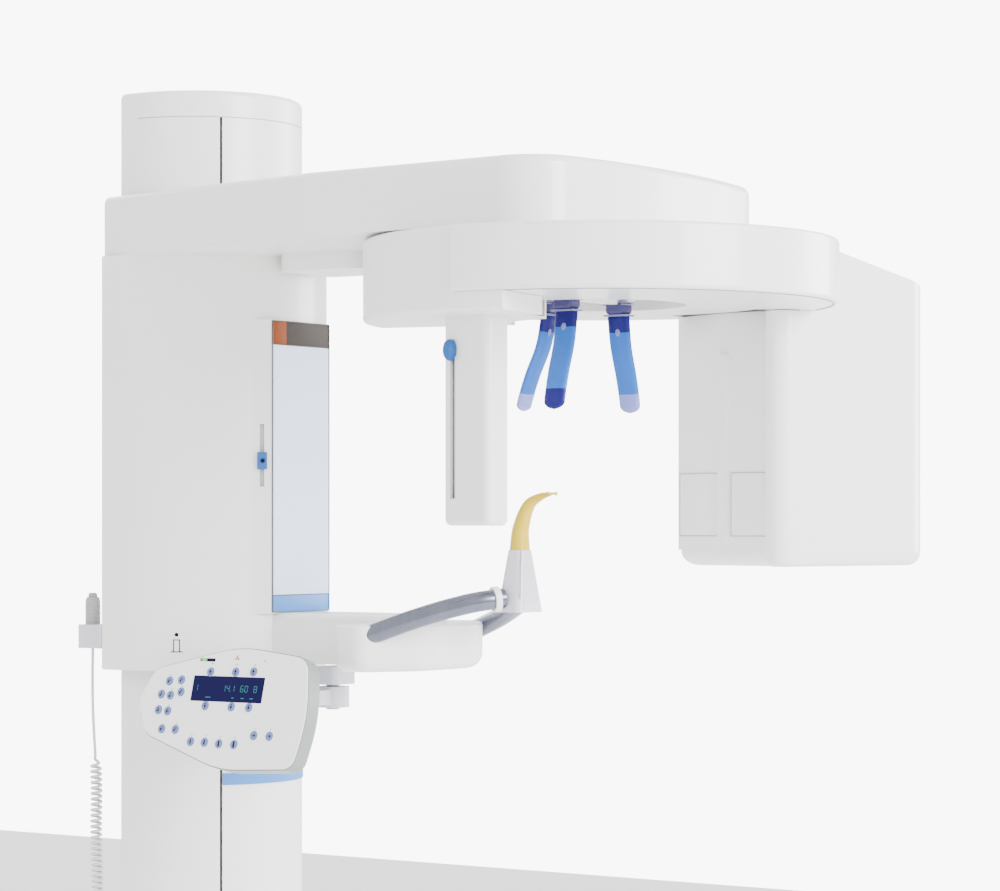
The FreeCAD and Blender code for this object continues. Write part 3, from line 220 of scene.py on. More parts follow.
def finished(bm: bmesh.types.BMesh, name: str, body: str, finishes: Sequence[Finish], smooth: float = 40.0) -> bpy.types.Object:
    """Turn a bmesh into a piece that rides on a body.

    Args:
        bm: the finished shape; it is freed.
        name: the piece's name.
        body: CAD body that it moves with.
        finishes: materials in the order of the faces' indices.
        smooth: faces that meet under this angle, in degrees, are shaded smooth.

    Returns:
        The new object, at the origin.
    """
    bmesh.ops.remove_doubles(bm, verts=bm.verts, dist=1e-6)
    bmesh.ops.recalc_face_normals(bm, faces=bm.faces)
    mesh = bpy.data.meshes.new(name)
    bm.to_mesh(mesh)
    bm.free()
    for finish in finishes:
        mesh.materials.append(finish.build())
    mesh.shade_smooth()
    mesh.set_sharp_from_angle(angle=math.radians(smooth))
    obj = bpy.data.objects.new(name, mesh)
    bpy.context.scene.collection.objects.link(obj)
    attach(obj, body)
    LOG.info("piece %s on %s, %d faces", name, body, len(mesh.polygons))
    return obj


def soft_block(bm: bmesh.types.BMesh, size: Point, place: Matrix, edge: float = 0.0,
               index: int = 0) -> None:
    """Add a block with bevelled edges.

    Args:
        bm: shape to add to.
        size: full size along its own axes.
        place: where its centre goes and how it is turned.
        edge: bevel width, none if zero.
        index: material index of its faces.
    """
    made = bmesh.ops.create_cube(bm, size=1.0)
    verts = made["verts"]
    bmesh.ops.scale(bm, vec=size, verts=verts)
    faces = {face for vert in verts for face in vert.link_faces}
    for face in faces:
        face.material_index = index
    if edge > 0:
        edges = list({e for vert in verts for e in vert.link_edges})
        cut = bmesh.ops.bevel(bm, geom=edges, offset=edge, offset_type="OFFSET", segments=3, profile=0.5,
                              affect="EDGES", material=-1)
        rounded = {vert for face in cut["faces"] for vert in face.verts}
        verts = list(rounded | {v for v in verts if v.is_valid})
    bmesh.ops.transform(bm, matrix=place, verts=verts)


def disc(bm: bmesh.types.BMesh, radii: Sequence[float], heights: Sequence[float], place: Matrix,
         sides: int = 32, index: int = 0) -> None:
    """Add a round turned shape from rings of given radii at given heights, closed at both ends.

    Args:
        bm: shape to add to.
        radii: ring radii from the bottom up.
        heights: ring heights, as many as radii.
        place: frame whose Z is the turning axis.
        sides: number of sides.
        index: material index of its faces.
    """
    made = bmesh.ops.create_circle(bm, cap_ends=True, radius=radii[0], segments=sides)
    ring = made["verts"]
    bmesh.ops.translate(bm, vec=(0, 0, heights[0]), verts=ring)
    every = list(ring)
    face = ring[0].link_faces[0]
    for before, after, low, high in zip(radii, radii[1:], heights, heights[1:]):
        grown = bmesh.ops.extrude_face_region(bm, geom=[face])
        verts = [g for g in grown["geom"] if isinstance(g, bmesh.types.BMVert)]
        bmesh.ops.translate(bm, vec=(0, 0, high - low), verts=verts)
        factor = after / before
        bmesh.ops.scale(bm, vec=(factor, factor, 1), verts=verts)
        face = [g for g in grown["geom"] if isinstance(g, bmesh.types.BMFace)][0]
        every += verts
    bottom = bmesh.ops.contextual_create(bm, geom=ring)["faces"] if not _capped(ring) else []
    for touched in {f for vert in every for f in vert.link_faces} | set(bottom):
        touched.material_index = index
    bmesh.ops.transform(bm, matrix=place, verts=every)


def _capped(ring: Sequence[bmesh.types.BMVert]) -> bool:
    """Tell whether a ring of vertices carries a face of its own."""
    wanted = set(ring)
    return any(set(face.verts) == wanted for face in ring[0].link_faces)


@dataclass(frozen=True)
class Station:
    """One cross-section of a swept piece: its place, half sizes and material index."""

    at: Vector
    half_width: float
    half_depth: float
    index: int = 0


def sweep(bm: bmesh.types.BMesh, stations: Sequence[Station], across: Vector, sides: int = 24,
          square: float = 0.0) -> None:
    """Sweep a rounded section along stations by repeated extrusion, closed at both ends.

    Args:
        bm: shape to add to.
        stations: sections from first to last.
        across: direction of the section's width.
        sides: sides of the section.
        square: 0 for an oval, up to 1 for a squarer section.
    """
    ring = bmesh.ops.create_circle(bm, cap_ends=True, radius=1.0, segments=sides)["verts"]
    for vert in ring:
        reach = max(abs(vert.co.x), abs(vert.co.y))
        vert.co *= 1 + square * (1 / reach - 1)
    shape = [vert.co.copy() for vert in ring]
    count = len(stations)
    face = ring[0].link_faces[0]
    order = list(ring)
    for i, station in enumerate(stations):
        before = stations[max(i - 1, 0)].at
        after = stations[min(i + 1, count - 1)].at
        along = (after - before).normalized()
        side = (across - along * across.dot(along)).normalized()
        depth = along.cross(side)
        if i:
            known = {vert: k for k, vert in enumerate(order)}
            grown = bmesh.ops.extrude_face_region(bm, geom=[face])["geom"]
            face = [g for g in grown if isinstance(g, bmesh.types.BMFace)][0]
            new_order: list = [None] * sides
            for edge in {e for vert in face.verts for e in vert.link_edges}:
                a, b = edge.verts
                if a in known and b in face.verts:
                    new_order[known[a]] = b
                elif b in known and a in face.verts:
                    new_order[known[b]] = a
            for vert in new_order:
                for touched in vert.link_faces:
                    touched.material_index = station.index
            order = new_order
        for vert, co in zip(order, shape):
            vert.co = station.at + side * (co.x * station.half_width) + depth * (co.y * station.half_depth)
    if not _capped(ring):
        bmesh.ops.contextual_create(bm, geom=ring)


def curve_points(knots: Sequence[Point], count: int) -> list[Vector]:
    """Even points on a smooth curve through knots, by a Catmull-Rom rule."""
    pts = [Vector(k) for k in knots]
    pts = [pts[0] * 2 - pts[1]] + pts + [pts[-1] * 2 - pts[-2]]
    spans = len(pts) - 3
    found = []
    for i in range(count):
        t = i / (count - 1) * spans
        k = min(int(t), spans - 1)
        u = t - k
        a, b, c, d = pts[k: k + 4]
        found.append(0.5 * (2 * b + (c - a) * u + (2 * a - 5 * b + 4 * c - d) * u * u
                            + (3 * b - a - 3 * c + d) * u ** 3))
    return found


def facing(at: Vector, out: Vector, up: Vector) -> Matrix:
    """Frame whose Z points out and whose Y is nearest to up."""
    z = out.normalized()
    x = up.cross(z).normalized()
    y = z.cross(x)
    turn = Matrix((x, y, z)).transposed().to_4x4()
    return Matrix.Translation(at) @ turn


def middle(node: str) -> Vector:
    """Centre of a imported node's box."""
    low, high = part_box(node)
    return (Vector(low) + Vector(high)) / 2


# ---------------------------------------------------------------- studio
@dataclass
class Studio:
    """Camera, lights and floor."""

    lens: float = 111.6
    azimuth: float = -55.9
    eye: Point = (-3.335, -2.757, 1.671)
    shift_up: float = 0.0745
    ambient: float = 2.2
    backdrop: float = 9.0
    subject: Point = (0, -0.4, 1.5)
    floor_half: float = 9
    floor_gap: float = 0.0005

    def camera(self) -> None:
        """Level camera at the patient's front left."""
        data = bpy.data.cameras.new("camera")
        data.lens = self.lens
        data.shift_y = self.shift_up
        data.clip_end = 60
        camera = bpy.data.objects.new("camera", data)
        camera.location = self.eye
        camera.rotation_euler = (math.radians(90), 0, math.radians(self.azimuth))
        bpy.context.scene.collection.objects.link(camera)
        bpy.context.scene.camera = camera

    def light(self, name: str, at: Point, size: float, power: float) -> None:
        """Square soft light that looks at the machine's middle."""
        data = bpy.data.lights.new(name, "AREA")
        data.size = size
        data.energy = power
        lamp = bpy.data.objects.new(name, data)
        lamp.location = at
        lamp.rotation_euler = (Vector(self.subject) - Vector(at)).to_track_quat("-Z", "Y").to_euler()
        bpy.context.scene.collection.objects.link(lamp)

    def build(self) -> None:
        """Set the world, the lights and the floor."""
        world = bpy.data.worlds.new("studio")
        world.use_nodes = True
        nodes = world.node_tree.nodes
        links = world.node_tree.links
        seen = nodes.new("ShaderNodeLightPath")
        strength = nodes.new("ShaderNodeMix")
        strength.inputs["A"].default_value = self.ambient
        strength.inputs["B"].default_value = self.backdrop
        links.new(seen.outputs["Is Camera Ray"], strength.inputs["Factor"])
        links.new(strength.outputs["Result"], nodes["Background"].inputs["Strength"])
        nodes["Background"].inputs["Color"].default_value = (1.0, 1.0, 1.0, 1)
        bpy.context.scene.world = world
        self.light("key", (-0.4, -4.8, 3.2), 2.2, 380)
        self.light("fill", (4.4, -2.6, 2.6), 2.4, 230)
        self.light("back", (1.5, 3.2, 3.6), 2.5, 90)
        bm = bmesh.new()
        bmesh.ops.create_grid(bm, x_segments=8, y_segments=8, size=self.floor_half)
        bmesh.ops.translate(bm, vec=(0, 0, CAD_BOX[0][2] - self.floor_gap), verts=bm.verts)
        mesh = bpy.data.meshes.new("floor")
        bm.to_mesh(mesh)
        bm.free()
        mesh.materials.append(FLOOR.build())
        floor = bpy.data.objects.new("floor", mesh)
        bpy.context.scene.collection.objects.link(floor)


# ---------------------------------------------------------------- hand switch and cord
@dataclass
class SwitchCord:
    """Sheathed lead of the hand switch: straight, then curled, then straight up to its socket."""

    wire: float = 0.004
    coil_radius: float = 0.0065
    pitch: float = 0.0075
    per_turn: int = 12
    blend_points: int = 30
    lead: Sequence[Point] = ((-0.150, 0.069, 1.497), (-0.150, 0.070, 1.452), (-0.149, 0.0695, 1.404),
                             (-0.146, 0.068, 1.352))
    coil: Sequence[Point] = ((-0.144, 0.067, 1.300), (-0.145, 0.068, 1.248), (-0.143, 0.067, 1.196),
                             (-0.142, 0.068, 1.144), (-0.134, 0.066, 1.096), (-0.112, 0.067, 1.056),
                             (-0.076, 0.068, 1.036), (-0.038, 0.067, 1.046), (-0.010, 0.066, 1.080),
                             (0.002, 0.067, 1.124), (0.004, 0.066, 1.176), (0.002, 0.067, 1.228))
    tail: Sequence[Point] = ((0.001, 0.067, 1.276), (0.004, 0.066, 1.326), (0.003, 0.065, 1.378),
                             (0.008, 0.062, 1.430), (0.010, 0.060, 1.480))

    def centreline(self) -> list[Vector]:
        """Points on the smooth route, read from its own spline."""
        route = self._curve("route", [Vector(p) for p in (*self.lead, *self.coil, *self.tail)])
        mesh = bpy.data.meshes.new_from_object(route)
        points = [v.co.copy() for v in mesh.vertices]
        bpy.data.meshes.remove(mesh)
        data = route.data
        bpy.data.objects.remove(route)
        bpy.data.curves.remove(data)
        return points

    def _curve(self, name: str, points: Iterable[Vector]) -> bpy.types.Object:
        """Open spline with the given control points."""
        data = bpy.data.curves.new(name, "CURVE")
        data.dimensions = "3D"
        spline = data.splines.new("NURBS")
        points = list(points)
        spline.points.add(len(points) - 1)
        for point, co in zip(spline.points, points):
            point.co = (*co, 1)
        spline.order_u = 3
        spline.use_endpoint_u = True
        data.resolution_u = 8
        obj = bpy.data.objects.new(name, data)
        bpy.context.scene.collection.objects.link(obj)
        return obj

    def build(self) -> None:
        line = self.centreline()
        steps = [0.0]
        for a, b in zip(line, line[1:]):
            steps.append(steps[-1] + (b - a).length)
        first = self._nearest(line, Vector(self.lead[-1]))
        last = self._nearest(line, Vector(self.coil[-1]))
        start, end = steps[first], steps[last]
        count = round((end - start) / self.pitch * self.per_turn)
        helix = []
        side = Vector((0, 1, 0))
        angle = 0.0
        for i in range(count + 1):
            at, along = self._sample(line, steps, start + (end - start) * i / count)
            side = (side - along * side.dot(along)).normalized()
            share = min(1.0, i / self.blend_points, (count - i) / self.blend_points)
            ease = share * share * (3 - 2 * share)
            radius = self.coil_radius * ease
            angle += 2 * math.pi / self.per_turn * ease
            across = along.cross(side)
            helix.append(at + side * (radius * math.cos(angle)) + across * (radius * math.sin(angle)))
        before = [Vector(p) for p in self.lead[:-1]]
        after = [Vector(p) for p in self.tail]
        cord = self._curve("switch_cord", before + helix + after)
        length = self._length(cord)
        cord.data.bevel_depth = self.wire / 2
        cord.data.bevel_resolution = 2
        cord.data.resolution_u = 3
        cord.data.use_fill_caps = True
        cord.data.materials.append(CORD.build())
        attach(cord, "carriage")
        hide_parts("switch_lead", "switch_coil", "switch_tail")
        LOG.info("cord of %.3f m", length)

    @staticmethod
    def _length(curve: bpy.types.Object) -> float:
        """Length of a thin curve, read from its own points."""
        mesh = bpy.data.meshes.new_from_object(curve)
        points = [v.co.copy() for v in mesh.vertices]
        bpy.data.meshes.remove(mesh)
        return sum((b - a).length for a, b in zip(points, points[1:]))

    @staticmethod
    def _nearest(line: Sequence[Vector], point: Vector) -> int:
        """Index of the line's point nearest to a given one."""
        return min(range(len(line)), key=lambda i: (line[i] - point).length)

    @staticmethod
    def _sample(line: Sequence[Vector], steps: Sequence[float], at: float) -> tuple[Vector, Vector]:
        """Point and direction on the line at a distance along it."""
        k = 0
        while k < len(line) - 2 and steps[k + 1] < at:
            k += 1
        span = steps[k + 1] - steps[k]
        share = (at - steps[k]) / span if span else 0.0
        return line[k].lerp(line[k + 1], share), (line[k + 1] - line[k]).normalized()


@dataclass
class HandSwitch:
    """Ribbed exposure switch in its clip."""

    ribs: int = 5
    rib_drop: float = 0.012
    rib_pitch: float = 0.005

    def build(self) -> None:
        """Dress the switch and add its grip ribs."""
        dress("hand_switch", SWITCH)
        dress("switch_button", SWITCH)
        dress("switch_holder", HOLDER)
        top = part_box("hand_switch")[1][2]
        centre = middle("hand_switch")
        bm = bmesh.new()
        for i in range(self.ribs):
            z = top - self.rib_drop - i * self.rib_pitch
            place = Matrix.Translation((centre.x, centre.y, z))
            disc(bm, (0.0101, 0.0106, 0.0101), (-0.0009, 0.0, 0.0009), place)
        finished(bm, "switch_ribs", "carriage", [SWITCH])


# ---------------------------------------------------------------- column
@dataclass
class Column:
    """Fixed column with its cap, foot and wall bracket."""

    anchor_inset: float = 0.035
    line_height: float = 0.0012
    line_sides: int = 64

    def build(self) -> None:
        """Dress the column and add its fasteners and seams."""
        for node in ("column_profile", "column_front_cover", "column_cap"):
            dress(node, COLUMN)
        for node in ("base_plate", "wall_bracket", "lift_motor", "power_supply"):
            dress(node, DARK_LACQUER)
        dress("column_band", BAND)
        for node in ("guide_rails", "lift_screw"):
            dress(node, STEEL)
        dress("screw_bearings", ALUMINIUM)
        self.anchor_caps()
        self.cap_joint()

    def anchor_caps(self) -> None:
        """Steel washers at the anchor holes of the foot."""
        low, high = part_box("base_plate")
        bm = bmesh.new()
        inset = self.anchor_inset
        for x in (low[0] + inset, high[0] - inset):
            for y in (low[1] + inset, high[1] - inset):
                place = Matrix.Translation((x, y, high[2]))
                disc(bm, (0.014, 0.014, 0.0125, 0.0085), (0.0, 0.0015, 0.0025, 0.0025), place)
        finished(bm, "anchor_washers", "stand", [STEEL])

    def cap_joint(self) -> None:
        """Shadow line where the cap sits on the column."""
        low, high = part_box("column_cap")
        bm = bmesh.new()
        radius = (high[0] - low[0]) / 2 + 0.0002
        ring = bmesh.ops.create_circle(bm, cap_ends=False, radius=radius, segments=self.line_sides)["verts"]
        behind = [v for v in ring if v.co.y > 1e-5]
        bmesh.ops.delete(bm, geom=behind, context="VERTS")
        bmesh.ops.translate(bm, vec=(0, 0, low[2] - self.line_height / 2), verts=bm.verts)
        up = bmesh.ops.extrude_edge_only(bm, edges=bm.edges)
        moved = [g for g in up["geom"] if isinstance(g, bmesh.types.BMVert)]
        bmesh.ops.translate(bm, vec=(0, 0, self.line_height), verts=moved)
        bmesh.ops.solidify(bm, geom=bm.faces, thickness=0.0003)
        finished(bm, "cap_shadow_line", "stand", [SEAM])


# ---------------------------------------------------------------- carriage
@dataclass
class Carriage:
    """Lifting carriage with its mirror, layer light and lower arm."""

    orange_share: float = 0.24
    mirror_half: float = 0.0625
    mark_angle: float = -152.0
    seam_at: Point = (-0.020, -0.4256, 1.508)

    def build(self) -> None:
        """Dress the carriage and add its printed and moulded details."""
        for node in ("carriage_cover", "lower_carrier", "lower_arm", "mirror_frame", "handle_collars",
                     "upper_arm_cover", "support_column"):
            dress(node, HOUSING)
        dress("upper_arm_plate", HOUSING)
        for node in ("carriage_frame", "upper_arm_frame", "rotor_motor", "motor_pulley"):
            dress(node, ALUMINIUM)
        for node in ("trolley", "slew_bearing"):
            dress(node, STEEL)
        dress("drive_belt", SHADOW)
        # The mirror pane is a flat pale blue: painted reflection.
        dress("mirror_pane", MIRROR_PAINTED_REFLECTION)
        # The handles' dark metal colour is partly painted reflection.
        dress("patient_handles", HANDLE_METAL_PAINTED_REFLECTION)
        dress("bite_holder", HOLDER)
        dress("light_slider", SLIDER)
        self.mirror_bands()
        self.mirror_edge()
        self.light_band()
        self.light_knob()
        self.position_mark()
        self.tray_seam()

    def mirror_bands(self) -> None:
        """Plain colour strips over and under the mirror, in place of printed ones."""
        low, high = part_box("mirror_bands")
        width = high[0] - low[0]
        y = low[1]
        strip_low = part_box("mirror_pane")[1][2]
        band_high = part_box("mirror_pane")[0][2]
        bm = bmesh.new()
        change = low[0] + width * self.orange_share
        parts = ((low[0], change, strip_low, high[2], 0), (change, high[0], strip_low, high[2], 1),
                 (low[0], high[0], low[2], band_high, 2))
        for x0, x1, z0, z1, index in parts:
            place = Matrix.Translation(((x0 + x1) / 2, (y + high[1]) / 2, (z0 + z1) / 2))
            soft_block(bm, (x1 - x0, high[1] - y, z1 - z0), place, 0.0002, index)
        bands = finished(bm, "mirror_colour_bands", "carriage", [ORANGE, BROWN, BAND])
        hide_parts("mirror_bands")

    def mirror_edge(self) -> None:
        """Thin dark gasket round the mirror and its strips."""
        low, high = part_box("mirror_pane")
        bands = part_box("mirror_bands")
        y = low[1]
        bm = bmesh.new()
        z_mid = (bands[0][2] + bands[1][2]) / 2
        tall = bands[1][2] - bands[0][2]
        for x in (low[0] - 0.0004, high[0] + 0.0004):
            soft_block(bm, (0.0012, 0.0016, tall), Matrix.Translation((x, y, z_mid)), 0.0003, 0)
        for z in (bands[0][2], low[2], high[2], bands[1][2]):
            soft_block(bm, (high[0] - low[0], 0.0016, 0.0011), Matrix.Translation((0, y, z)), 0.0003, 0)
        finished(bm, "mirror_gasket", "carriage", [SHADOW])

    def light_band(self) -> None:
        """Pale band that closes the layer light's slot and slides with it."""
        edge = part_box("mirror_frame")[0][0]
        pane_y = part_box("mirror_pane")[0][1]
        outer = Vector((edge, -math.sqrt(CARRIER_RADIUS ** 2 - edge ** 2), 0))
        inner = Vector((-self.mirror_half, pane_y, 0))
        out = (inner - outer).cross(UP).normalized()
        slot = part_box("light_slider")
        z = (slot[0][2] + slot[1][2]) / 2
        at = (outer + inner) / 2 - out * 0.0058 + Vector((0, 0, z))
        bm = bmesh.new()
        soft_block(bm, (0.0088, 0.150, 0.0005), facing(at, out, UP), 0.0001, 0)
        finished(bm, "light_slot_band", "layer_light", [GASKET])

    def light_knob(self) -> None:
        """Black grip on the layer light's slider."""
        out = Vector((-0.734, -0.679, 0))
        place = facing(middle("light_slider") + out * 0.0125, out, UP)
        bm = bmesh.new()
        disc(bm, (0.0028, 0.0028, 0.0024, 0.0012), (-0.004, 0.0012, 0.0022, 0.0026), place, 20)
        finished(bm, "light_grip", "layer_light", [INK])

    def position_mark(self) -> None:
        """Small outline symbol on the carrier's side: a figure on a line."""
        low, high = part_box("lower_carrier")
        radius = (high[0] - low[0]) / 2
        angle = math.radians(self.mark_angle)
        out = Vector((math.cos(angle), math.sin(angle), 0))
        at = out * (radius + 0.0001) + Vector((0, 0, (low[2] + high[2]) / 2))
        place = facing(at, out, UP)
        bm = bmesh.new()
        strokes = ((0, -0.012, 0.016, 0.0012), (-0.004, -0.004, 0.0012, 0.016),
                   (0.004, -0.004, 0.0012, 0.016), (0, 0.004, 0.0092, 0.0012))
        for dx, dy, w, h in strokes:
            soft_block(bm, (w, h, 0.0004), place @ Matrix.Translation((dx, dy, 0)), 0.0, 0)
        disc(bm, (0.0026, 0.0026), (-0.0002, 0.0002), place @ Matrix.Translation((0, 0.011, 0)), 20)
        finished(bm, "position_mark", "carriage", [INK])

    def tray_seam(self) -> None:
        """Joint line between the tray's two mouldings, down its front."""
        bm = bmesh.new()
        place = facing(Vector(self.seam_at), Vector((0.0, -1.0, 0.0)), UP)
        soft_block(bm, (0.0008, 0.034, 0.0008), place @ Matrix.Rotation(math.radians(12), 4, "Z"), 0.0, 0)
        finished(bm, "tray_joint_line", "carriage", [SEAM])


@dataclass
class BitePost:
    """Bite piece on its post."""

    stem: float = 0.0052
    stem_share: float = 0.14

    def build(self) -> None:
        """Yellow beak-shaped bite piece, replacing the plain one."""
        low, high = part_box("bite_piece")
        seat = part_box("bite_holder")[1][2]
        y = middle("bite_holder").y
        tip_y = low[1] + 0.0035
        top = high[2] - 0.004
        path = curve_points(((0, y, seat - 0.015), (0, y, seat + 0.004), (0, y - 0.002, seat + 0.030),
                             (0, y - 0.014, seat + 0.058), (0, y - 0.032, top - 0.004), (0, tip_y, top)), 26)
        bm = bmesh.new()
        stations = []
        for i, at in enumerate(path):
            share = i / (len(path) - 1)
            width = depth = self.stem
            if share >= self.stem_share:
                width = 0.0125 * (1 - share) ** 0.75 + 0.0022
                depth = 0.0115 * (1 - share) ** 0.8 + 0.0016
            stations.append(Station(at, width, depth))
        sweep(bm, stations, Vector((1, 0, 0)), square=0.25)
        bar = facing(Vector((-0.011, tip_y, top)), Vector((1, 0, 0)), UP)
        radii = (0.0012, 0.0024, 0.0018, 0.0018, 0.0024, 0.0012)
        disc(bm, radii, (0, 0.001, 0.004, 0.018, 0.021, 0.022), bar, 16)
        piece = finished(bm, "bite_beak", "bite", [BITE], 50)
        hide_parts("bite_piece")
        self.post_seam(y, seat)

    def post_seam(self, y: float, seat: float) -> None:
        """Joint line down the wedge's near corner."""
        low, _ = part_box("bite_holder")
        knots = [(-0.0118, y - 0.0101, seat), (-0.0190, y - 0.0140, seat - 0.030),
                 (-0.0246, y - 0.0168, low[2] + 0.018)]
        path = curve_points(knots, 12)
        bm = bmesh.new()
        sweep(bm, [Station(at, 0.0006, 0.0006) for at in path], Vector((1, 0, 0)), 8)
        finished(bm, "wedge_joint_line", "carriage", [SEAM])


# ---------------------------------------------------------------- head supports
@dataclass
class HeadSupports:
    """Two temple fingers and the forehead finger that hang from the fixed disc."""

    clamp_half: float = 0.014
    forehead_half: float = 0.012
    navy_share: float = 0.30
    blue_share: float = 0.76
    rounding_share: float = 0.88
    lean: float = 0.029
    forehead_lean: float = 0.039

    def finger(self, node: str, body: str, tip_shift: Vector, across: Vector, tip: Finish) -> None:
        """Curved blade in two blues with a coloured tip, replacing a plain support.

        Args:
            node: packed support that it replaces.
            body: body that it rides on.
            tip_shift: how far the tip stands off from under the clamp.
            across: direction of the blade's width.
            tip: finish of the tip.
        """
        low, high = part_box(node)
        top = Vector(self.clamp_centre(low, high, tip_shift))
        length = high[2] - low[2] - 0.004
        out = tip_shift.normalized()
        knots = [top + Vector((0, 0, -0.020)), top + Vector((0, 0, -0.030)) + out * 0.0005,
                 top + Vector((0, 0, -0.062)) + tip_shift * 0.20,
                 top + Vector((0, 0, -0.098)) + tip_shift * 0.62,
                 top + Vector((0, 0, -0.128)) + tip_shift * 0.90, top + Vector((0, 0, -length)) + tip_shift]
        path = curve_points([tuple(k) for k in knots], 60)
        bm = bmesh.new()
        stations = []
        for i, at in enumerate(path):
            share = i / (len(path) - 1)
            width = 0.0165 - 0.0015 * share
            depth = 0.0048
            past = (share - self.rounding_share) / (1 - self.rounding_share)
            if past > 0:
                round_off = math.sqrt(max(0.0, 1 - past ** 2))
                width *= max(0.10, round_off)
                depth *= max(0.30, round_off)
            index = 0 if share < self.navy_share else 1 if share < self.blue_share else 2
            stations.append(Station(at, width, depth, index))
        sweep(bm, stations, across, 32, 0.3)
        self.fittings(bm, top, out, across, path)
        piece = finished(bm, node + "_finger", body, [NAVY, BLUE, tip, BRACKET, RING], 45)
        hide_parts(node)

    def clamp_centre(self, low: Sequence[float], high: Sequence[float], tip_shift: Vector) -> Point:
        """Centre of the clamp's top, worked out from the support's box."""
        if abs(tip_shift.x) > abs(tip_shift.y):
            x = high[0] - self.clamp_half if tip_shift.x < 0 else low[0] + self.clamp_half
            return (x, (low[1] + high[1]) / 2, high[2])
        y = low[1] + self.forehead_half
        return ((low[0] + high[0]) / 2, y, high[2])

    @staticmethod
    def fittings(bm: bmesh.types.BMesh, top: Vector, out: Vector, across: Vector,
                 path: Sequence[Vector]) -> None:
        """Hanging plate, stacked pale rings and the oval stud of a finger."""
        lengthwise = abs(out.x) > abs(out.y)
        stack = [((0.026, 0.028, 0.0175), 0.0112, 3)]
        stack += [((0.0245, 0.0345, 0.0016), 0.0045 + 0.0026 * i, 4) for i in range(2)]
        stack += [((0.0225, 0.0335, 0.0022), 0.0210, 4)]
        for size, drop, index in stack:
            turned = size if lengthwise else (size[1], size[0], size[2])
            soft_block(bm, turned, Matrix.Translation(top + Vector((0, 0, -drop))), min(turned) * 0.3, index)
        step = 17
        along = (path[step + 1] - path[step]).normalized()
        face = along.cross(across).normalized()
        for sign in (1, -1):
            place = facing(path[step] + face * (0.0044 * sign), face * sign, UP)
            disc(bm, (0.0036, 0.0036, 0.0026), (-0.001, 0.0006, 0.0012),
                 place @ Matrix.Diagonal((1.0, 1.35, 1.0, 1.0)), 24, 4)

    def build(self) -> None:
        """Build all three fingers."""
        x_axis = Vector((1, 0, 0))
        y_axis = Vector((0, 1, 0))
        self.finger("temple_support_near", "temple_near", Vector((-self.lean, 0, 0)), y_axis, NAVY)
        self.finger("temple_support_far", "temple_far", Vector((self.lean, 0, 0)), y_axis, LAVENDER)
        self.finger("forehead_support", "forehead", Vector((0, self.forehead_lean, 0)), x_axis, LAVENDER)


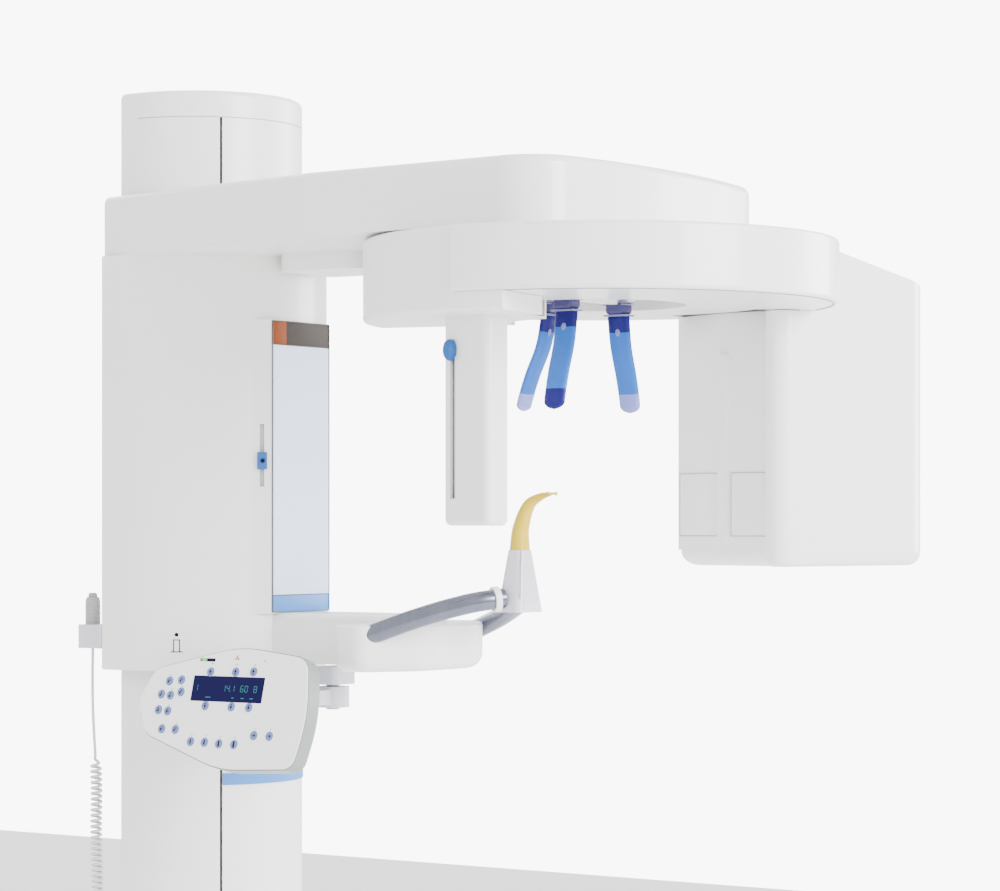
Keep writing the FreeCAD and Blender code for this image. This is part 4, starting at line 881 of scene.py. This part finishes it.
# ---------------------------------------------------------------- rotating unit
@dataclass
class Rotor:
    """Ring covers, sensor arm and tube arm."""

    angle: float = -15.0
    axis_y: float = -0.65
    slot_side: float = 0.022
    slot_low: float = 1.697
    slot_high: float = 1.883
    line_radius: float = 0.298
    line_z: float = 1.9435
    line_first: float = -168.0
    line_last: float = -24.0
    line_pieces: int = 48

    def local(self, r: float, q: float, z: float) -> Vector:
        """Point from a distance towards the tube, a sideways distance and a height."""
        turn = Matrix.Rotation(math.radians(self.angle), 3, "Z")
        return turn @ Vector((r, q, 0)) + Vector((0, self.axis_y, z))

    def outward(self, r: float, q: float) -> Vector:
        """Direction from its parts along and across the beam."""
        return Matrix.Rotation(math.radians(self.angle), 3, "Z") @ Vector((r, q, 0))

    def build(self) -> None:
        """Dress the rotor and add windows, strips and the sensor's slot."""
        for node in ("ring_cover_front", "ring_cover_rear", "sensor_block", "sensor_housing",
                     "collimator_housing", "tube_housing"):
            dress(node, HOUSING)
        for node in ("rotor_frame", "tube_tank"):
            dress(node, ALUMINIUM)
        dress("rotor_hub", STEEL)
        dress("image_sensor", SHADOW)
        dress("aperture_plate", LEAD)
        dress("xray_tube", GLASS)
        dress("sensor_knob", KNOB)
        self.windows()
        self.sensor_trim()
        self.knob_dome()
        self.underside_line()

    def windows(self) -> None:
        """Two glossy windows with thin frames on the collimator's front."""
        z_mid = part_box("collimator_housing")[0][2] + 0.0605
        height = 0.083
        bm = bmesh.new()
        windows = ((0.0565, 0.244, 0.102, 0.090), (-0.0440, 0.242, -0.0795, 0.066))
        for middle_q, far_r, far_q, width in windows:
            slope = math.atan2(far_r - 0.227, abs(far_q) - 0.008)
            side = math.copysign(1, middle_q)
            out = self.outward(-math.cos(slope), math.sin(slope) * side)
            at = self.local(0.227 + (abs(middle_q) - 0.008) * math.tan(slope), middle_q, z_mid)
            place = facing(at + out * 0.0002, out, UP)
            soft_block(bm, (width, height, 0.0016), place, 0.0006, 0)
            for dx, dy, w, h in ((0, height / 2, width, 0.0011), (0, -height / 2, width, 0.0011),
                                 (width / 2, 0, 0.0011, height), (-width / 2, 0, 0.0011, height)):
                soft_block(bm, (w, h, 0.0024), place @ Matrix.Translation((dx, dy, 0)), 0.0003, 1)
        finished(bm, "collimator_windows", "rotor", [WINDOW, SEAM])

    def sensor_trim(self) -> None:
        """Lining round the long slot of the sensor arm, and the pale guide behind it."""
        out = self.outward(-1, 0)
        bm = bmesh.new()
        tall = self.slot_high - self.slot_low
        centre = (self.slot_low + self.slot_high) / 2
        place = facing(self.local(-0.223, self.slot_side, centre), out, UP)
        for dx in (-0.0045, 0.0045):
            soft_block(bm, (0.0012, tall, 0.0012), place @ Matrix.Translation((dx, 0, 0)), 0.0003, 0)
        for dy in (-1, 1):
            at = Matrix.Translation((0, dy * tall / 2, 0))
            soft_block(bm, (0.0102, 0.0012, 0.0012), place @ at, 0.0003, 0)
        behind = facing(self.local(-0.2155, self.slot_side, centre), out, UP)
        soft_block(bm, (0.016, tall + 0.012, 0.001), behind, 0.0003, 1)
        finished(bm, "sensor_slot_lining", "rotor", [GASKET, HOUSING])

    def knob_dome(self) -> None:
        """Oval domed grip over the sensor arm's knob."""
        out = self.outward(-1, 0)
        place = facing(self.local(-0.2305, self.slot_side, middle("sensor_knob").z), out, UP)
        radii = (0.0074, 0.0082, 0.0080, 0.0066, 0.0040, 0.0014)
        heights = (-0.0068, -0.006, 0.0, 0.0035, 0.0052, 0.0057)
        bm = bmesh.new()
        disc(bm, radii, heights, place @ Matrix.Diagonal((1.0, 1.65, 1.0, 1.0)), 32)
        piece = finished(bm, "sensor_knob_dome", "sensor_slider", [KNOB])
        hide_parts("sensor_knob")

    def underside_line(self) -> None:
        """Shadow line along the lower edge of the front ring cover."""
        bm = bmesh.new()
        spread = self.line_last - self.line_first
        length = self.line_radius * math.radians(spread) / self.line_pieces * 1.03
        for i in range(self.line_pieces):
            angle = math.radians(self.line_first + spread * (i + 0.5) / self.line_pieces)
            out = self.outward(math.cos(angle), math.sin(angle))
            at = self.local(0, 0, self.line_z) + out * self.line_radius
            soft_block(bm, (length, 0.0010, 0.0016), facing(at, out, UP), 0.0, 0)
        finished(bm, "ring_shadow_line", "rotor", [SEAM])


# ---------------------------------------------------------------- control panel
@dataclass
class Panel:
    """Tilted control panel with foil keys, lamps and display."""

    tilt: float = 15.0
    origin: Point = (-0.212, -0.200, 1.431)
    arrows_up: Sequence[tuple[float, float]] = ((-18, 43), (23.5, 44), (53, 45))
    arrows_down: Sequence[tuple[float, float]] = ((-17.6, -2), (25.7, -2), (54.6, -2))
    left_keys: Sequence[tuple[float, float]] = ((-84.5, 29), (-64.5, 31), (-62, 15), (-94.5, 11), (-79, 10),
                                               (-95, -10), (-79, -11), (-84, -35), (-61, -35))
    figure_keys: Sequence[tuple[float, float]] = ((-32, -50), (-8.7, -50), (15.3, -51), (40.2, -51))
    right_keys: Sequence[tuple[float, float]] = ((70.2, -38), (95.5, -38))

    def spot(self, x: float, y: float, lift: float) -> Matrix:
        """Frame on the panel's face at x towards the patient and y up it, in millimetres."""
        lean = math.radians(self.tilt)
        right = Vector((0, -1, 0))
        up = Vector((math.sin(lean), 0, math.cos(lean)))
        out = right.cross(up)
        at = Vector(self.origin) + (right * x + up * y + out * lift) * 0.001
        return facing(at, out, up)

    def bar(self, bm: bmesh.types.BMesh, x: float, y: float, width: float, height: float, lift: float,
            index: int = 0, turn: float = 0.0) -> None:
        """Thin printed bar on the face; sizes in millimetres, turn in degrees."""
        place = self.spot(x, y, lift) @ Matrix.Rotation(math.radians(turn), 4, "Z")
        soft_block(bm, (width * 0.001, height * 0.001, 0.00025), place, 0.0, index)

    def dot(self, bm: bmesh.types.BMesh, x: float, y: float, radius: float, lift: float, index: int = 0,
            sides: int = 20, turn: float = 0.0) -> None:
        """Round or triangular print on the face; sizes in millimetres."""
        place = self.spot(x, y, lift) @ Matrix.Rotation(math.radians(turn), 4, "Z")
        r = radius * 0.001
        disc(bm, (r, r), (-0.0001, 0.00015), place, sides, index)

    def build(self) -> None:
        """Dress the panel and print its face."""
        dress("panel_case", PANEL)
        dress("panel_face", FOIL)
        dress("panel_display", DISPLAY)
        dress("panel_stem", HOLDER)
        dress("panel_arm", HOLDER)
        self.key_faces()
        self.symbols()
        self.display()

    def key_faces(self) -> None:
        """Domed discs of all keys."""
        bm = bmesh.new()
        keys = (*self.arrows_up, *self.arrows_down, *self.left_keys, *self.figure_keys, *self.right_keys)
        for x, y in keys:
            place = self.spot(x, y, 2.6)
            disc(bm, (0.0062, 0.0062, 0.0058, 0.0040), (-0.0002, 0.0003, 0.0007, 0.0009), place, 28, 0)
        finished(bm, "key_domes", "panel", [KEY])

    def symbols(self) -> None:
        """Symbols on the keys, lamps beside them, a plain label and the radiation sign."""
        bm = bmesh.new()
        lift = 3.6
        for x, y in self.arrows_up:
            self.dot(bm, x, y + 0.8, 2.4, lift, 0, 3, 0)
            self.bar(bm, x, y - 2.2, 1.3, 2.6, lift)
        for x, y in self.arrows_down:
            self.dot(bm, x, y - 0.8, 2.4, lift, 0, 3, 180)
            self.bar(bm, x, y + 2.2, 1.3, 2.6, lift)
        for i, (x, y) in enumerate(self.left_keys):
            self.bar(bm, x, y, 5.2, 0.7, lift, 0, 25 * i)
            self.bar(bm, x, y + 1.8, 3.4, 0.6, lift, 0, 25 * i)
            self.dot(bm, x - 1.4, y - 1.4, 1.2, lift)
            if i % 2 == 0:
                self.dot(bm, x, y + 8.2, 0.9, 2.2, 1)
        for i, (x, y) in enumerate(self.figure_keys):
            size = 0.8 + 0.12 * i
            self.dot(bm, x, y + 2.4 * size, 1.2 * size, lift)
            self.bar(bm, x, y - 1.2 * size, 2.2 * size, 4.6 * size, lift)
            self.dot(bm, x, y + 9.0, 0.9, 2.2, 1)
        for x, y in self.right_keys:
            self.bar(bm, x, y, 5.0, 0.9, lift)
            self.bar(bm, x + 1.5, y + 1.0, 0.8, 3.0, lift, 0, 45)
            self.bar(bm, x + 1.5, y - 1.0, 0.8, 3.0, lift, 0, -45)
            self.dot(bm, x, y + 9.0, 0.9, 2.2, 1)
        for x, width, index in ((-37, 5, 2), (-31, 5, 1), (-21, 14, 0)):
            self.bar(bm, x, 59, width, 4.2, 2.2, index)
        for x, y in ((68, 60), (53, 54), (23, 54), (-18, 54)):
            self.dot(bm, x, y, 0.9, 2.2, 3)
        for turn in (90, 210, 330):
            a = math.radians(turn)
            self.dot(bm, 22 + 2.4 * math.cos(a), 62.5 + 2.4 * math.sin(a), 1.7, 2.2, 3, 3, turn - 90 + 180)
        self.dot(bm, 22, 62.5, 0.8, 2.25, 3)
        for x, w in ((-16, 9), (25, 4), (41, 5), (56, 6)):
            self.bar(bm, x, 9.5, w, 1.2, 2.6, 4)
        finished(bm, "panel_print", "panel", [INK, LAMP, LABEL, ORANGE, DIGIT])

    def display(self) -> None:
        """Dim seven-bar digits on the display."""
        bm = bmesh.new()
        segments = {"a": (0, 4, 4, 0), "g": (0, 0, 4, 0), "d": (0, -4, 4, 0), "f": (-2.2, 2, 0, 3.4),
                    "b": (2.2, 2, 0, 3.4), "e": (-2.2, -2, 0, 3.4), "c": (2.2, -2, 0, 3.4)}
        digits = {"0": "abcdef", "1": "bc", "4": "fgbc", "6": "afgcde", "8": "abcdefg"}
        for text, start in (("1", -38), ("14", 8), ("1", 23), ("60", 38), ("8", 60)):
            for i, digit in enumerate(text):
                x = start + i * 7
                for name in digits[digit]:
                    dx, dy, w, h = segments[name]
                    self.bar(bm, x + dx, 22 + dy, max(w, 0.8), max(h, 0.8), 2.35)
        self.bar(bm, 19.0, 18.0, 0.9, 0.9, 2.35)
        finished(bm, "display_digits", "panel", [DIGIT])


def main() -> None:
    """Build the whole machine's looks in order and report each piece."""
    logging.basicConfig(level=logging.INFO)
    studio = Studio()
    studio.camera()
    parts = (SwitchCord(), studio, HandSwitch(), Column(), Carriage(), BitePost(), HeadSupports(), Rotor(),
             Panel())
    for part in parts:
        part.build()
        LOG.info("built %s", type(part).__name__)


if __name__ == "__main__":
    main()
